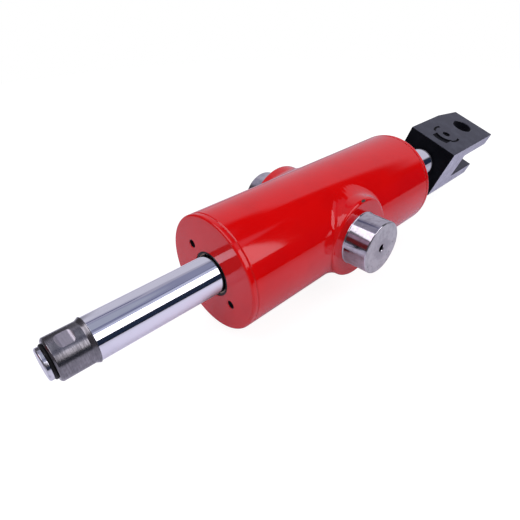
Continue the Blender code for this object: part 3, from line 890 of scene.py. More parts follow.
@dataclass(frozen=True)
class Gland:
    """The two screwed-in ends of the barrel, each with its wiper and scraper.

    Heights are zero at the outer face and fall towards the piston.
    """

    front_x: float = 0.137
    rear_x: float = -0.133
    outer_radius: float = 0.054
    rim_rounding: float = 0.0020
    rim_width: float = 0.008
    brim_edge: float = 0.0006
    flange: float = 0.0050
    flange_seat: float = 0.006
    pilot_radius: float = 0.0447
    nose_radius: float = 0.0387
    pilot_end: float = 0.032
    gland_end: float = 0.044
    ring_top: float = 0.015
    ring_low: float = 0.0192
    ring_floor: float = 0.0411
    rod_radius: float = 0.0175
    wiper_radius: float = 0.0209
    wiper_floor: float = 0.007
    wiper_gap: float = 0.0013
    wiper_edge: float = 0.0003
    wiper_play: float = 0.0001
    mouth_edge: float = 0.0004
    mouth_width: float = 0.003
    scraper_edge: float = 0.0001
    scraper_lip: float = 0.0003
    scraper_inner: float = 0.0008
    scraper_outer: float = 0.00125
    scraper_top: float = 0.0012
    scraper_rim_low: float = 0.0044
    scraper_lip_top: float = 0.0050
    seal_radius: float = 0.0225
    seal_top: float = 0.010
    seal_low: float = 0.0171
    land_radius: float = 0.0181
    bush_radius: float = 0.0211
    bush_top: float = 0.0201
    inner_edge: float = 0.00035
    hole_circle: float = 0.0312
    hole_radius: float = 0.0040
    hole_edge: float = 0.0003
    hole_depth: float = 0.012
    hole_tip: float = 0.0016
    hole_steps: int = 36
    painted_depth: float = 0.0008
    paint_run: float = 0.0010
    hole_turn: float = math.radians(50.0)
    steps: int = 160

    def build(self) -> None:
        """Make the front gland's pieces and copy them to the rear."""
        for piece, slot, node, mirrored in (
                (self.head(), Slot.RED_PAINT, "gland", False),
                (self.wiper(), Slot.BLACK_RUBBER, "wiper", True),
                (self.scraper(), Slot.BRONZE, "scraper", False)):
            hand_over_pair(piece, slot, node, ("front", "rear"), math.pi, self.front_x + self.rear_x,
                           mirrored)

    def head(self) -> bpy.types.Object:
        """Turn the gland, drill its two spanner holes and paint it."""
        outer, rounding, brim = self.outer_radius, self.rim_rounding, self.brim_edge
        rim = [(outer - self.rim_width, 0.0)]
        rim += arc((outer - rounding, -rounding), rounding, 90.0, 0.0, 8)
        rim += arc((outer - brim, brim - self.flange), brim, 0.0, -90.0, 6)
        rim.append((outer - self.flange_seat, -self.flange))
        inside = [
            (self.pilot_radius, -self.flange),
            (self.pilot_radius, -self.ring_top),
            (self.ring_floor, -self.ring_top),
            (self.ring_floor, -self.ring_low),
            (self.pilot_radius, -self.ring_low),
            (self.pilot_radius, -self.pilot_end),
            (self.nose_radius, -self.pilot_end),
            (self.nose_radius, -self.gland_end),
            (self.bush_radius, -self.gland_end),
            (self.bush_radius, -self.bush_top),
            (self.land_radius, -self.bush_top),
            (self.land_radius, -self.seal_low),
            (self.seal_radius, -self.seal_low),
            (self.seal_radius, -self.seal_top),
            (self.land_radius, -self.seal_top),
            (self.land_radius, -self.wiper_floor),
            (self.wiper_radius, -self.wiper_floor),
            (self.wiper_radius, -self.mouth_edge),
            (self.wiper_radius + self.mouth_edge, 0.0),
            (self.wiper_radius + self.mouth_width, 0.0),
        ]
        profile = rim + eased(inside, self.inner_edge)
        profile.append(profile[0])
        place = (self.front_x, 0.0, 0.0)
        head = lathe("front_gland_head", profile, self.steps, Pointing.FRONT, place)
        hole = [
            (0.0, OVERCUT),
            (self.hole_radius + self.hole_edge, OVERCUT),
            (self.hole_radius + self.hole_edge, 0.0),
            (self.hole_radius, -self.hole_edge),
            (self.hole_radius, -self.painted_depth),
            (self.hole_radius, -self.hole_depth),
            (0.0, -self.hole_depth - self.hole_tip),
        ]
        cut(head, *(lathe("spanner_drill", hole, self.hole_steps, Pointing.FRONT, tuple(spot))
                    for spot in self.holes()))
        smooth(head)
        # Past their red mouths the spanner holes get near-black oxide as painted shade.
        dress(head, RedEnamel(), [(DullSteel(), self.unpainted), (PaintedShadeOxide(), self.drilled)])
        return head

    def holes(self) -> list[Vector]:
        """Return the mouths of the two spanner holes on the front face."""
        spots = []
        for turn in (self.hole_turn, self.hole_turn + math.pi):
            across, down = self.hole_circle * math.sin(turn), self.hole_circle * math.cos(turn)
            spots.append(Vector((self.front_x, across, -down)))
        return spots

    def unpainted(self, middle: Vector, normal: Vector) -> bool:
        """Tell whether a face is inside the gland, where there is no paint."""
        depth = abs(middle.x - self.front_x)
        radius = math.hypot(middle.y, middle.z)
        past_mouth = radius < self.wiper_radius + 0.5 * FACE_MARGIN and depth > 2.0 * self.wiper_edge
        return depth > self.flange + self.paint_run or past_mouth

    def drilled(self, middle: Vector, normal: Vector) -> bool:
        """Tell whether a face is down a spanner hole, past its mouth, where near-black oxide paints the
        hole's shade.
        """
        depth = self.front_x - middle.x
        away = min(math.hypot(middle.y - spot.y, middle.z - spot.z) for spot in self.holes())
        return depth > self.painted_depth and away < self.hole_radius + FACE_MARGIN

    def wiper(self) -> bpy.types.Object:
        """Turn the rubber wiper."""
        inner, outer = self.rod_radius + self.wiper_gap, self.wiper_radius - self.wiper_play
        edge = self.wiper_edge
        floor = edge - self.wiper_floor
        profile = [
            (outer, floor),
            (inner, floor),
            (inner, -2.0 * edge),
            (inner + edge, -edge),
            (outer - self.mouth_edge, -edge),
            (outer, -edge - self.mouth_edge),
        ]
        ring = lathe("front_wiper_ring", eased(profile, 0.5 * edge, ring=True), RING_STEPS,
                     Pointing.FRONT, (self.front_x, 0.0, 0.0))
        smooth(ring)
        dress(ring, BlackRubber())
        return ring

    def scraper(self) -> bpy.types.Object:
        """Turn the bronze scraper, with its thin rim inside the wiper and its lip on the rod."""
        lip, inner, outer = (self.rod_radius + away
                             for away in (self.scraper_lip, self.scraper_inner, self.scraper_outer))
        floor = self.wiper_edge - self.wiper_floor
        profile = [
            (outer, -self.scraper_top),
            (outer, floor),
            (lip, floor),
            (lip, -self.scraper_lip_top),
            (inner, -self.scraper_rim_low),
            (inner, -self.scraper_top),
        ]
        ring = lathe("front_scraper_ring", eased(profile, self.scraper_edge, ring=True), RING_STEPS,
                     Pointing.FRONT, (self.front_x, 0.0, 0.0))
        smooth(ring)
        dress(ring, ScraperBronze())
        return ring


# Weld-on bosses


@dataclass(frozen=True)
class WeldBoss:
    """Round boss on the barrel, with the weld that blends it into the curve.

    The boss stands along its own Z axis, with the barrel along its X axis.
    """

    name: str
    pointing: Pointing
    place_x: float
    outer_radius: float
    bore_radius: float
    face: float
    fillet: float
    side_share: float = 0.9
    face_edge: float = 0.0034
    bore_edge: float = 0.0004
    barrel_radius: float = 0.054
    toe_sink: float = 0.00015
    toe_limit: float = 0.955
    bulge: float = 0.06
    under_sink: float = 0.0003
    weave: float = 0.0004
    ripple: float = 0.00004
    thread_pitch: float = 0.0
    thread_depth: float = 0.0007
    thread_start: float = 0.0008
    thread_end: float = 0.0006
    steps: int = 192
    face_steps: int = 5
    weld_steps: int = 12
    under_steps: int = 6
    row_height: float = 0.001

    def seat(self, radius: float, angle: float, sink: float = 0.0) -> float:
        """Return the barrel's height under a point of the boss.

        Args:
            radius: The point's distance from the boss's axis.
            angle: Its turn from the barrel's direction.
            sink: How far under the barrel's skin.

        Returns:
            The height above the barrel's axis.
        """
        return math.sqrt((self.barrel_radius - sink) ** 2 - (radius * math.sin(angle)) ** 2)

    def section(self, angle: float) -> Profile:
        """Lay out one half-section of the boss.

        Args:
            angle: Its turn from the barrel's direction.

        Returns:
            Points of (radius, height) from the bore's mouth over the face and weld and back underneath.
        """
        wander = sum(share * math.sin(waves * angle + start)
                     for share, waves, start in ((1.0, 3.0, 1.1), (0.6, 7.0, 2.3), (0.35, 13.0, 0.0)))
        beads = math.sin(61.0 * angle + 2.0 * math.sin(3.0 * angle))
        across = abs(math.sin(angle))
        corner = self.seat(self.outer_radius, angle)
        edge = min(self.face_edge, 0.8 * (self.face - corner))
        top = self.face - edge
        wall = max(top - corner, 0.0)
        weld = self.fillet * (self.side_share + (1.0 - self.side_share) * across * across)
        rise = min(weld, 0.9 * wall)
        reach = self.toe_limit * self.barrel_radius
        spread = self.outer_radius + weld + self.weave * wander
        foot_r = min(spread, reach / across) if across > 1.0e-6 else spread
        points = [(self.bore_radius, self.face - self.bore_edge),
                  (self.bore_radius + 0.4 * self.bore_edge, self.face - 0.4 * self.bore_edge)]
        low, high = self.bore_radius + self.bore_edge, self.outer_radius - edge
        points += [(low + (high - low) * i / self.face_steps, self.face) for i in range(self.face_steps + 1)]
        points += arc((high, top), edge, 75.0, 0.0, 5)
        points += [(self.outer_radius, top - (wall - rise) * share) for share in (0.34, 0.67)]
        foot = self.seat(foot_r, angle, self.toe_sink)
        for i in range(self.weld_steps + 1):
            share = i / self.weld_steps
            back = 1.0 - share
            hump = 4.0 * share * back
            radius = back * (1.0 + share) * self.outer_radius + share * share * foot_r
            height = back * back * (corner + rise) + 2.0 * back * share * corner + share * share * foot
            swell = hump * (self.bulge * rise + self.ripple * beads)
            points.append((radius + swell, max(height + swell, self.seat(radius, angle, self.toe_sink))))
        for i in range(1, self.under_steps + 1):
            radius = foot_r + (self.bore_radius - foot_r) * i / self.under_steps
            points.append((radius, self.seat(radius, angle, self.under_sink)))
        return points + self.bore(angle)

    def bore(self, angle: float) -> Profile:
        """Lay out the bore wall, threaded where a pitch is set.

        Args:
            angle: Its turn from the barrel's direction.

        Returns:
            Points from the barrel up to the bore's mouth.
        """
        if self.thread_pitch <= 0.0:
            return []
        low = self.seat(self.bore_radius, angle, self.under_sink)
        start = self.barrel_radius + self.thread_start
        stop = self.face - self.bore_edge - self.thread_end
        turns = int((stop - start) / self.thread_pitch)
        points = [(self.bore_radius, low + (start - low) * 0.5)]
        for i in range(turns):
            height = start + i * self.thread_pitch
            points += [(self.bore_radius, height),
                       (self.bore_radius + self.thread_depth, height + 0.5 * self.thread_pitch)]
        return points + [(self.bore_radius, stop)]

    def build(self) -> bpy.types.Object:
        """Spin a plain sleeve and push each of its rings to the boss's own section."""
        count = len(self.section(0.0))
        sleeve = [(self.outer_radius, self.row_height * (i % count)) for i in range(count + 1)]
        boss = lathe(self.name, sleeve, self.steps)
        sections: dict[int, Profile] = {}
        for vertex in boss.data.vertices:
            angle = math.atan2(vertex.co.y, vertex.co.x)
            turn = round(angle / (2.0 * math.pi) * self.steps) % self.steps
            angle = 2.0 * math.pi * turn / self.steps
            if turn not in sections:
                sections[turn] = self.section(angle)
            radius, height = sections[turn][round(vertex.co.z / self.row_height)]
            vertex.co = (radius * math.cos(angle), radius * math.sin(angle), height)
        with editing(boss):
            bpy.ops.mesh.normals_make_consistent(inside=False)
        settle(boss, self.pointing.value, (self.place_x, 0.0, 0.0))
        smooth(boss, 50.0)
        dress(boss, RedEnamel(), [(DullSteel(), self.in_bore)] if self.thread_pitch > 0.0 else [])
        return boss

    def in_bore(self, middle: Vector, normal: Vector) -> bool:
        """Tell whether a face is in the port's thread, which is bare."""
        radius = math.hypot(middle.x - self.place_x, middle.y)
        in_wall = radius < self.bore_radius + self.thread_depth + 0.5 * FACE_MARGIN
        return in_wall and abs(middle.z) < self.face - 0.9 * self.bore_edge


@dataclass(frozen=True)
class Trunnion:
    """The two trunnions, each a welded boss and the pin that stands in it."""

    boss_radius: float = 0.0405
    face: float = 0.055
    fillet: float = 0.0062
    pin_radius: float = 0.026
    root_step: float = 0.0005
    root_length: float = 0.0003
    root_depth: float = 0.010
    root_play: float = 0.0001
    end: float = 0.080
    chamfer: float = 0.0008
    centre_radius: float = 0.0043
    centre_depth: float = 0.0014
    drill_radius: float = 0.0034
    drill_depth: float = 0.011
    drill_tip: float = 0.0008
    seat_radius: float = 0.0535
    seat_reach: float = 0.060
    edge: float = 0.0005
    steps: int = 128

    def build(self) -> None:
        """Make the near trunnion's pieces and copy them to the far side."""
        boss = WeldBoss("near_trunnion_weld_boss", Pointing.NEAR, 0.0, self.boss_radius,
                        self.pin_radius + self.root_step + self.root_play, self.face,
                        self.fillet).build()
        for piece, slot, node, mirrored in ((boss, Slot.RED_PAINT, "trunnion_boss", False),
                                            (self.pin(), Slot.TURNED_STEEL, "trunnion_pin", True)):
            hand_over_pair(piece, slot, node, ("near", "far"), math.pi, mirrored=mirrored)

    def pin(self) -> bpy.types.Object:
        """Turn the pin with its root, end chamfer and lathe centre."""
        root = self.pin_radius + self.root_step
        root_top = self.face + self.root_length
        profile = [
            (0.0, self.end - self.drill_depth - self.drill_tip),
            (self.drill_radius, self.end - self.drill_depth),
            (self.drill_radius, self.end - self.centre_depth),
            (self.centre_radius, self.end),
            (self.pin_radius - self.chamfer, self.end),
            (self.pin_radius, self.end - self.chamfer),
            (self.pin_radius, root_top + 0.6 * self.root_step),
            (root, root_top),
            (root, self.face - self.root_depth),
            (0.0, self.face - self.root_depth),
        ]
        pin = lathe("near_trunnion_journal", eased(profile, self.edge), self.steps, Pointing.NEAR)
        radius, reach = self.seat_radius, self.seat_reach
        seat = [(0.0, -reach), (radius, -reach), (radius, reach), (0.0, reach)]
        cut(pin, lathe("pin_seat", seat, self.steps, Pointing.FRONT))
        smooth(pin)
        # The lathe centre gets near-black oxide as painted shade.
        dress(pin, TurnedPin(), [(PaintedShadeOxide(), self.drilled)])
        return pin

    def drilled(self, middle: Vector, normal: Vector) -> bool:
        """Tell whether a face is down in the lathe centre, where near-black oxide paints its shade."""
        return math.hypot(middle.x, middle.z) < self.drill_radius + FACE_MARGIN and middle.y > 0.0


@dataclass(frozen=True)
class OilPorts:
    """The two weld-on oil ports under the barrel."""

    front_x: float = 0.099
    rear_x: float = -0.095
    outer_radius: float = 0.014
    bore_radius: float = 0.008
    face: float = 0.0635
    fillet: float = 0.0035

    def build(self) -> None:
        """Make the front port with its threaded bore and copy it to the rear."""
        front = WeldBoss("front_port_weld_boss", Pointing.DOWN, self.front_x, self.outer_radius,
                         self.bore_radius, self.face, self.fillet, side_share=1.0, face_edge=0.0008,
                         bore_edge=0.0009, weave=0.0002, thread_pitch=0.0015, steps=96).build()
        hand_over_pair(front, Slot.RED_PAINT, "port_boss", ("front", "rear"),
                       shift=self.rear_x - self.front_x)


# Rod, rod end and clevis


@dataclass(frozen=True)
class PistonRod:
    """The chromed through rod with its stepped nose and the stud in the clevis."""

    radius: float = 0.0175
    collar_x: float = 0.2467
    groove_x: float = 0.2747
    groove_width: float = 0.0026
    groove_depth: float = 0.0017
    spigot_radius: float = 0.0125
    tip_length: float = 0.0032
    tip_chamfer: float = 0.0008
    rear_x: float = -0.211
    rear_chamfer: float = 0.0015
    # Length of dull steel before the fork, a band of painted shade.
    rear_shade_band: float = 0.0040
    stud_radius: float = 0.012
    stud_length: float = 0.041
    stud_chamfer: float = 0.0015
    piston_x: float = 0.002
    snap_outer: float = 0.015
    snap_width: float = 0.0022
    snap_depth: float = 0.0015
    play: float = 0.0003
    edge: float = 0.0002
    steps: int = 128

    def build(self) -> None:
        """Turn the rod, and tell its chromed length from its bright nose."""
        shoulder = self.collar_x - self.play
        groove_top = self.groove_x + self.groove_width
        tip = groove_top + self.tip_length
        rear = self.rear_x + self.play
        profile = [
            (0.0, tip),
            (self.spigot_radius - self.tip_chamfer, tip),
            (self.spigot_radius, tip - self.tip_chamfer),
            (self.spigot_radius, groove_top),
            (self.spigot_radius - self.groove_depth, groove_top),
            (self.spigot_radius - self.groove_depth, self.groove_x),
            (self.spigot_radius, self.groove_x),
            (self.spigot_radius, shoulder),
            (self.radius, shoulder),
        ]
        for direction in (1.0, -1.0):
            near = self.piston_x + direction * self.snap_outer
            low, high = sorted((near, near + direction * self.snap_width))
            floor = self.radius - self.snap_depth
            profile += [(self.radius, high), (floor, high), (floor, low), (self.radius, low)]
        profile += [
            (self.radius, rear + self.rear_shade_band),
            (self.radius, rear + self.rear_chamfer),
            (self.radius - self.rear_chamfer, rear),
            (self.stud_radius, rear),
            (self.stud_radius, self.rear_x - self.stud_length + self.stud_chamfer),
            (self.stud_radius - self.stud_chamfer, self.rear_x - self.stud_length),
            (0.0, self.rear_x - self.stud_length),
        ]
        rod = lathe("chromed_piston_rod", eased(profile, self.edge), self.steps, Pointing.FRONT)
        smooth(rod)
        # The last few millimetres before the fork get dull steel as painted shade.
        dress(rod, HardChrome(), [(BrightNose(), self.bare), (DullSteel(), self.dull)])
        hand_over(rod, Body.ROD, Slot.CHROME, "piston_rod")

    def bare(self, middle: Vector, normal: Vector) -> bool:
        """Tell whether a face is on the nose or the stud, which aren't chromed."""
        return middle.x > self.collar_x - self.play - FACE_MARGIN / 2.0 or middle.x < self.rear_x

    def dull(self, middle: Vector, normal: Vector) -> bool:
        """Tell whether a face is on the last few millimetres in front of the fork, whose dull steel paints
        the shade where the rod enters the fork.
        """
        return self.rear_x < middle.x < self.rear_x + self.play + self.rear_shade_band


@dataclass(frozen=True)
class RodEnd:
    """The dull wrench-flat adapter on the rod's front end, and the rubber ring before its nose."""

    collar_x: float = 0.2467
    length: float = 0.028
    radius: float = 0.0168
    collar_radius: float = 0.0183
    collar_length: float = 0.0003
    flare: float = 0.0030
    chamfer: float = 0.0013
    bore_radius: float = 0.0128
    flat_across: float = 0.0315
    flat_start: float = 0.0078
    flat_length: float = 0.0150
    flat_turn: float = math.radians(75.0)
    flat_runout: float = 0.0040
    edge: float = 0.0003
    steps: int = 128
    ring_inner: float = 0.0109
    ring_cord: float = 0.0026
    ring_x: float = 0.2758

    def build(self) -> None:
        """Make the adapter and its ring."""
        self.adapter()
        self.ring()

    def adapter(self) -> None:
        """Turn the adapter and mill its two wrench flats with rounded run-outs."""
        profile = [
            (self.radius - self.chamfer, self.length),
            (self.radius, self.length - self.chamfer),
            (self.radius, self.collar_length + self.flare),
            (self.collar_radius, self.collar_length),
            (self.collar_radius, 0.0),
            (self.bore_radius, 0.0),
            (self.bore_radius, self.length),
        ]
        place = (self.collar_x, 0.0, 0.0)
        adapter = lathe("rod_end_wrench_adapter", eased(profile, self.edge, ring=True), self.steps,
                        Pointing.FRONT, place)
        for turn in (self.flat_turn, self.flat_turn + math.pi):
            middle = self.flat_start + self.flat_length / 2.0
            cutter = block("flat_cutter", (2.0 * self.radius, OVERCUT, self.flat_length),
                           (0.0, (self.flat_across + OVERCUT) / 2.0, middle), self.flat_runout, 8)
            settle(cutter, (0.0, 0.0, turn), (0.0, 0.0, 0.0))
            settle(cutter, Pointing.FRONT.value, place)
            cut(adapter, cutter)
        smooth(adapter, 13.0)
        # The wrench flats get a lighter steel, partly painted light that they catch.
        dress(adapter, DullSteel(), [(MilledFlatPaintedLight(), self.milled)])
        hand_over(adapter, Body.ROD, Slot.BARE_STEEL, "rod_end_adapter")

    def milled(self, middle: Vector, normal: Vector) -> bool:
        """Tell whether a face belongs to one of the wrench flats."""
        facing = Vector((0.0, math.cos(self.flat_turn), math.sin(self.flat_turn)))
        lengthways = middle.x - self.collar_x - self.flat_start
        return (0.0 < lengthways < self.flat_length and abs(normal.dot(facing)) > 0.7
                and math.hypot(middle.y, middle.z) < self.radius - 0.5 * FACE_MARGIN)

    def ring(self) -> None:
        """Turn the round rubber ring."""
        middle = (self.ring_inner + self.ring_cord / 2.0, 0.0)
        section = arc(middle, self.ring_cord / 2.0, 0.0, 360.0, 20)
        section[-1] = section[0]
        ring = lathe("rod_end_rubber_ring", section, RING_STEPS, Pointing.FRONT, (self.ring_x, 0.0, 0.0))
        smooth(ring, 60.0)
        dress(ring, BlackRubber())
        hand_over(ring, Body.ROD, Slot.BLACK_RUBBER, "rod_end_ring")


@dataclass(frozen=True)
class Clevis:
    """The fork block behind the rod, with its set screw.

    It is made with its front face at X zero and its fork towards -X, then turned about the rod.
    """

    front_x: float = -0.211
    turn: float = math.radians(-19.3)
    width: float = 0.066
    length: float = 0.108
    edge: float = 0.0007
    slot_width: float = 0.034
    slot_depth: float = 0.061
    slot_corner: float = 0.0018
    pin_hole: float = 0.0125
    pin_setback: float = 0.028
    pin_chamfer: float = 0.0007
    bevel_length: float = 0.039
    bevel_depth: float = 0.0065
    stud_hole: float = 0.0123
    stud_chamfer: float = 0.001
    screw_radius: float = 0.0047
    screw_play: float = 0.00015
    screw_chamfer: float = 0.0005
    screw_edge: float = 0.0006
    screw_steps: int = 48
    screw_x: float = 0.0355
    screw_sink: float = 0.0026
    socket_radius: float = 0.0029
    socket_depth: float = 0.004
    socket_tip: float = 0.001
    seat_groove: tuple[float, float, float] = (0.0136, 0.0240, 0.0026)
    lug_groove: tuple[float, float, float] = (0.0146, 0.0176, 0.0016)
    seat_sides: tuple[float, float] = (-0.0085, 0.0125)
    lug_ends: tuple[float, float] = (-0.0065, 0.0100)
    seat_start: float = 0.0072
    groove_clear: float = 0.003
    skin: float = 0.0003

    def build(self) -> None:
        """Make the fork block and its set screw."""
        self.fork()
        self.set_screw()

    def fork(self) -> None:
        """Saw, mill and drill the block."""
        half = self.width / 2.0
        fork = block("clevis_fork_block", (self.length, self.width, self.width),
                     (-self.length / 2.0, 0.0, 0.0))
        slope = math.atan2(self.bevel_depth, self.bevel_length)
        with editing(fork):
            bpy.ops.mesh.bisect(plane_co=(self.bevel_length - self.length, -half, 0.0),
                                plane_no=(-math.sin(slope), -math.cos(slope), 0.0), use_fill=True,
                                clear_outer=True)
        root = self.length - self.slot_depth
        slot_reach = self.slot_depth + OVERCUT
        cut(fork, block("slot_cutter", (slot_reach, self.width + 2.0 * OVERCUT, self.slot_width),
                        (-root - slot_reach / 2.0, 0.0, 0.0), self.slot_corner, 5))
        apply_modifier(fork, "BEVEL", width=self.edge, segments=3, limit_method="ANGLE",
                       angle_limit=math.radians(60.0))
        cut(fork, *self.drills())
        smooth(fork, 30.0)
        # The front face, the holes and the grooves get near-black oxide as painted shade.
        dress(fork, BlackOxide(), [(SawnSteel(), self.sawn), (PaintedShadeOxide(), self.in_shade)])
        settle(fork, (self.turn, 0.0, 0.0), (self.front_x, 0.0, 0.0))
        hand_over(fork, Body.ROD, Slot.BLACK_OXIDE, "clevis", mirrored=False)

    def drills(self) -> list[bpy.types.Object]:
        """Return the cutters of the pin hole, stud hole, screw hole and ring grooves."""
        half, slot, chamfer = self.width / 2.0, self.slot_width / 2.0, self.pin_chamfer
        above, burr = half + OVERCUT, 0.5 * chamfer
        pin, pin_mouth = self.pin_hole, self.pin_hole + chamfer
        pin_profile = [
            (0.0, above), (pin_mouth, above), (pin_mouth, half), (pin, half - chamfer),
            (pin, slot + burr), (pin + burr, slot), (pin + burr, -slot), (pin, -slot - burr),
            (pin, chamfer - half), (pin_mouth, -half), (pin_mouth, -above), (0.0, -above),
        ]
        stud, stud_mouth = self.stud_hole, self.stud_hole + self.stud_chamfer
        stud_end = self.slot_depth - self.length - OVERCUT
        stud_profile = [
            (0.0, OVERCUT), (stud_mouth, OVERCUT), (stud_mouth, 0.0), (stud, -self.stud_chamfer),
            (stud, stud_end), (0.0, stud_end),
        ]
        screw = self.screw_radius + self.screw_play
        screw_mouth = screw + self.screw_chamfer
        screw_profile = [
            (0.0, above), (screw_mouth, above), (screw_mouth, half),
            (screw, half - self.screw_chamfer), (screw, 0.0), (0.0, 0.0),
        ]
        pin_place, screw_place = (self.pin_setback - self.length, 0.0, 0.0), (-self.screw_x, 0.0, 0.0)
        return [
            lathe("pin_drill", pin_profile, RING_STEPS, Pointing.UP, pin_place),
            lathe("stud_drill", stud_profile, RING_STEPS, Pointing.FRONT),
            lathe("screw_drill", screw_profile, self.screw_steps, Pointing.UP, screw_place),
            self.groove_cutter(self.seat_groove, (self.seat_start, self.screw_x), self.seat_sides),
            self.groove_cutter(self.lug_groove, self.lug_ends, (-half, half)),
        ]

    def groove_cutter(self, ring: tuple[float, float, float], ends: tuple[float, float],
                      sides: tuple[float, float]) -> bpy.types.Object:
        """Turn a ring about the set screw and saw it down to an arc.

        Args:
            ring: Its inner radius, outer radius and depth.
            ends: Where it starts and ends, measured from the screw towards the front.
            sides: Where it starts and ends across the block.

        Returns:
            The cutter.
        """
        inner, outer, depth = ring
        half = self.width / 2.0
        low, high = half - depth, half + self.groove_clear
        section = [(inner, high), (inner, low), (outer, low), (outer, high), (inner, high)]
        cutter = lathe("groove_cutter", section, RING_STEPS, Pointing.UP, (-self.screw_x, 0.0, 0.0))
        reach = 2.0 * self.width
        for side, end, flank in ((-1.0, ends[0], sides[0]), (1.0, ends[1], sides[1])):
            away = side * reach / 2.0
            cut(cutter, block("groove_stop", (reach, reach, reach), (end - self.screw_x + away, 0.0, 0.0)))
            cut(cutter, block("groove_flank", (reach, reach, reach), (-self.screw_x, flank + away, 0.0)))
        return cutter

    def sawn(self, middle: Vector, normal: Vector) -> bool:
        """Tell whether a face is on one of the block's two sawn sides, before the block is turned."""
        return abs(normal.y) > 0.9 and abs(middle.y) > self.width / 2.0 - self.bevel_depth - 0.001

    def in_shade(self, middle: Vector, normal: Vector) -> bool:
        """Tell whether a face is on the front, in a hole or in a groove, before the block is turned.

        Args:
            middle: The face's middle.
            normal: Its normal.

        Returns:
            Whether it gets the near-black oxide that paints shade there.
        """
        away = math.hypot(middle.x + self.screw_x, middle.y)
        depth = self.width / 2.0 - middle.z
        on_front = normal.x > 0.9 and middle.x > -2.0 * self.edge
        in_screw_hole = away < self.screw_radius + 2.0 * FACE_MARGIN and depth > 2.0 * self.skin
        _, groove_outer, groove_depth = self.seat_groove
        in_groove = away < groove_outer + 0.5 * self.edge and self.skin < depth < 2.0 * groove_depth
        from_pin = math.hypot(middle.x + self.length - self.pin_setback, middle.y)
        in_pin_hole = from_pin < self.pin_hole + FACE_MARGIN and abs(normal.z) < 0.5
        return on_front or in_screw_hole or in_groove or in_pin_hole

    def set_screw(self) -> None:
        """Turn the set screw and press its hexagon socket."""
        top = self.width / 2.0 - self.screw_sink
        radius, low, edge = self.screw_radius, self.stud_hole, self.screw_edge
        profile = [(0.0, top), (radius - edge, top), (radius, top - edge), (radius, low + edge),
                   (radius - edge, low), (0.0, low)]
        screw = lathe("clevis_socket_set_screw", eased(profile, edge / 3.0), self.screw_steps)
        corner = self.socket_radius
        floor = top - self.socket_depth
        hexagon = [(0.0, top + OVERCUT), (corner, top + OVERCUT), (corner, floor),
                   (0.0, floor - self.socket_tip)]
        cut(screw, lathe("hexagon_punch", hexagon, 6))
        smooth(screw)
        # The whole screw, sunk in its hole, gets near-black oxide as painted shade.
        dress(screw, PaintedShadeOxide())
        settle(screw, (0.0, 0.0, 0.0), (-self.screw_x, 0.0, 0.0))
        settle(screw, (self.turn, 0.0, 0.0), (self.front_x, 0.0, 0.0))
        hand_over(screw, Body.ROD, Slot.BARE_STEEL, "clevis_set_screw")


@dataclass(frozen=True)
class HiddenRings:
    """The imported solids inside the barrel, which keep their shapes and get real finishes."""

    rubber: tuple[str, ...] = ("front_gland_ring", "rear_gland_ring", "piston_inner_ring")
    bronze: tuple[str, ...] = ("front_rod_bush", "rear_rod_bush", "front_guide_ring", "rear_guide_ring")
    plastic: tuple[str, ...] = ("front_rod_seal", "rear_rod_seal", "piston_seal")
    steel: tuple[str, ...] = ("piston", "front_snap_ring", "rear_snap_ring")

    def dress(self, nodes: Mapping[str, bpy.types.Object]) -> None:
        """Give each solid its finish.

        Args:
            nodes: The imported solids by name.
        """
        for finish, names in ((BlackRubber(), self.rubber), (BearingBronze(), self.bronze),
                              (SealPlastic(), self.plastic), (DullSteel(), self.steel)):
            for name in names:
                for slot in nodes[name].material_slots:
                    slot.material = finish.material()
                nodes[name].visible_glossy = False
                LOG.info("%s: packed solid in %s", name, finish.name)


# Studio


@dataclass(frozen=True)
class Softbox:
    """One soft studio lamp, seen only in reflections."""

    name: str
    place: Place
    size: tuple[float, float]
    radiance: float
    tint: Colour = (1.0, 0.96, 1.06)
    level: bool = False

    def build(self) -> None:
        """Hang the lamp at its place, level or facing the cylinder."""
        lamp = bpy.data.lights.new(self.name, "AREA")
        lamp.shape = "RECTANGLE"
        lamp.size, lamp.size_y = self.size
        lamp.color = self.tint
        lamp.energy = self.radiance * math.pi * self.size[0] * self.size[1]
        holder = bpy.data.objects.new(self.name, lamp)
        bpy.context.scene.collection.objects.link(holder)
        holder.location = self.place
        if not self.level:
            holder.rotation_euler = Vector(self.place).to_track_quat("Z", "Y").to_euler()
        holder.visible_camera = False


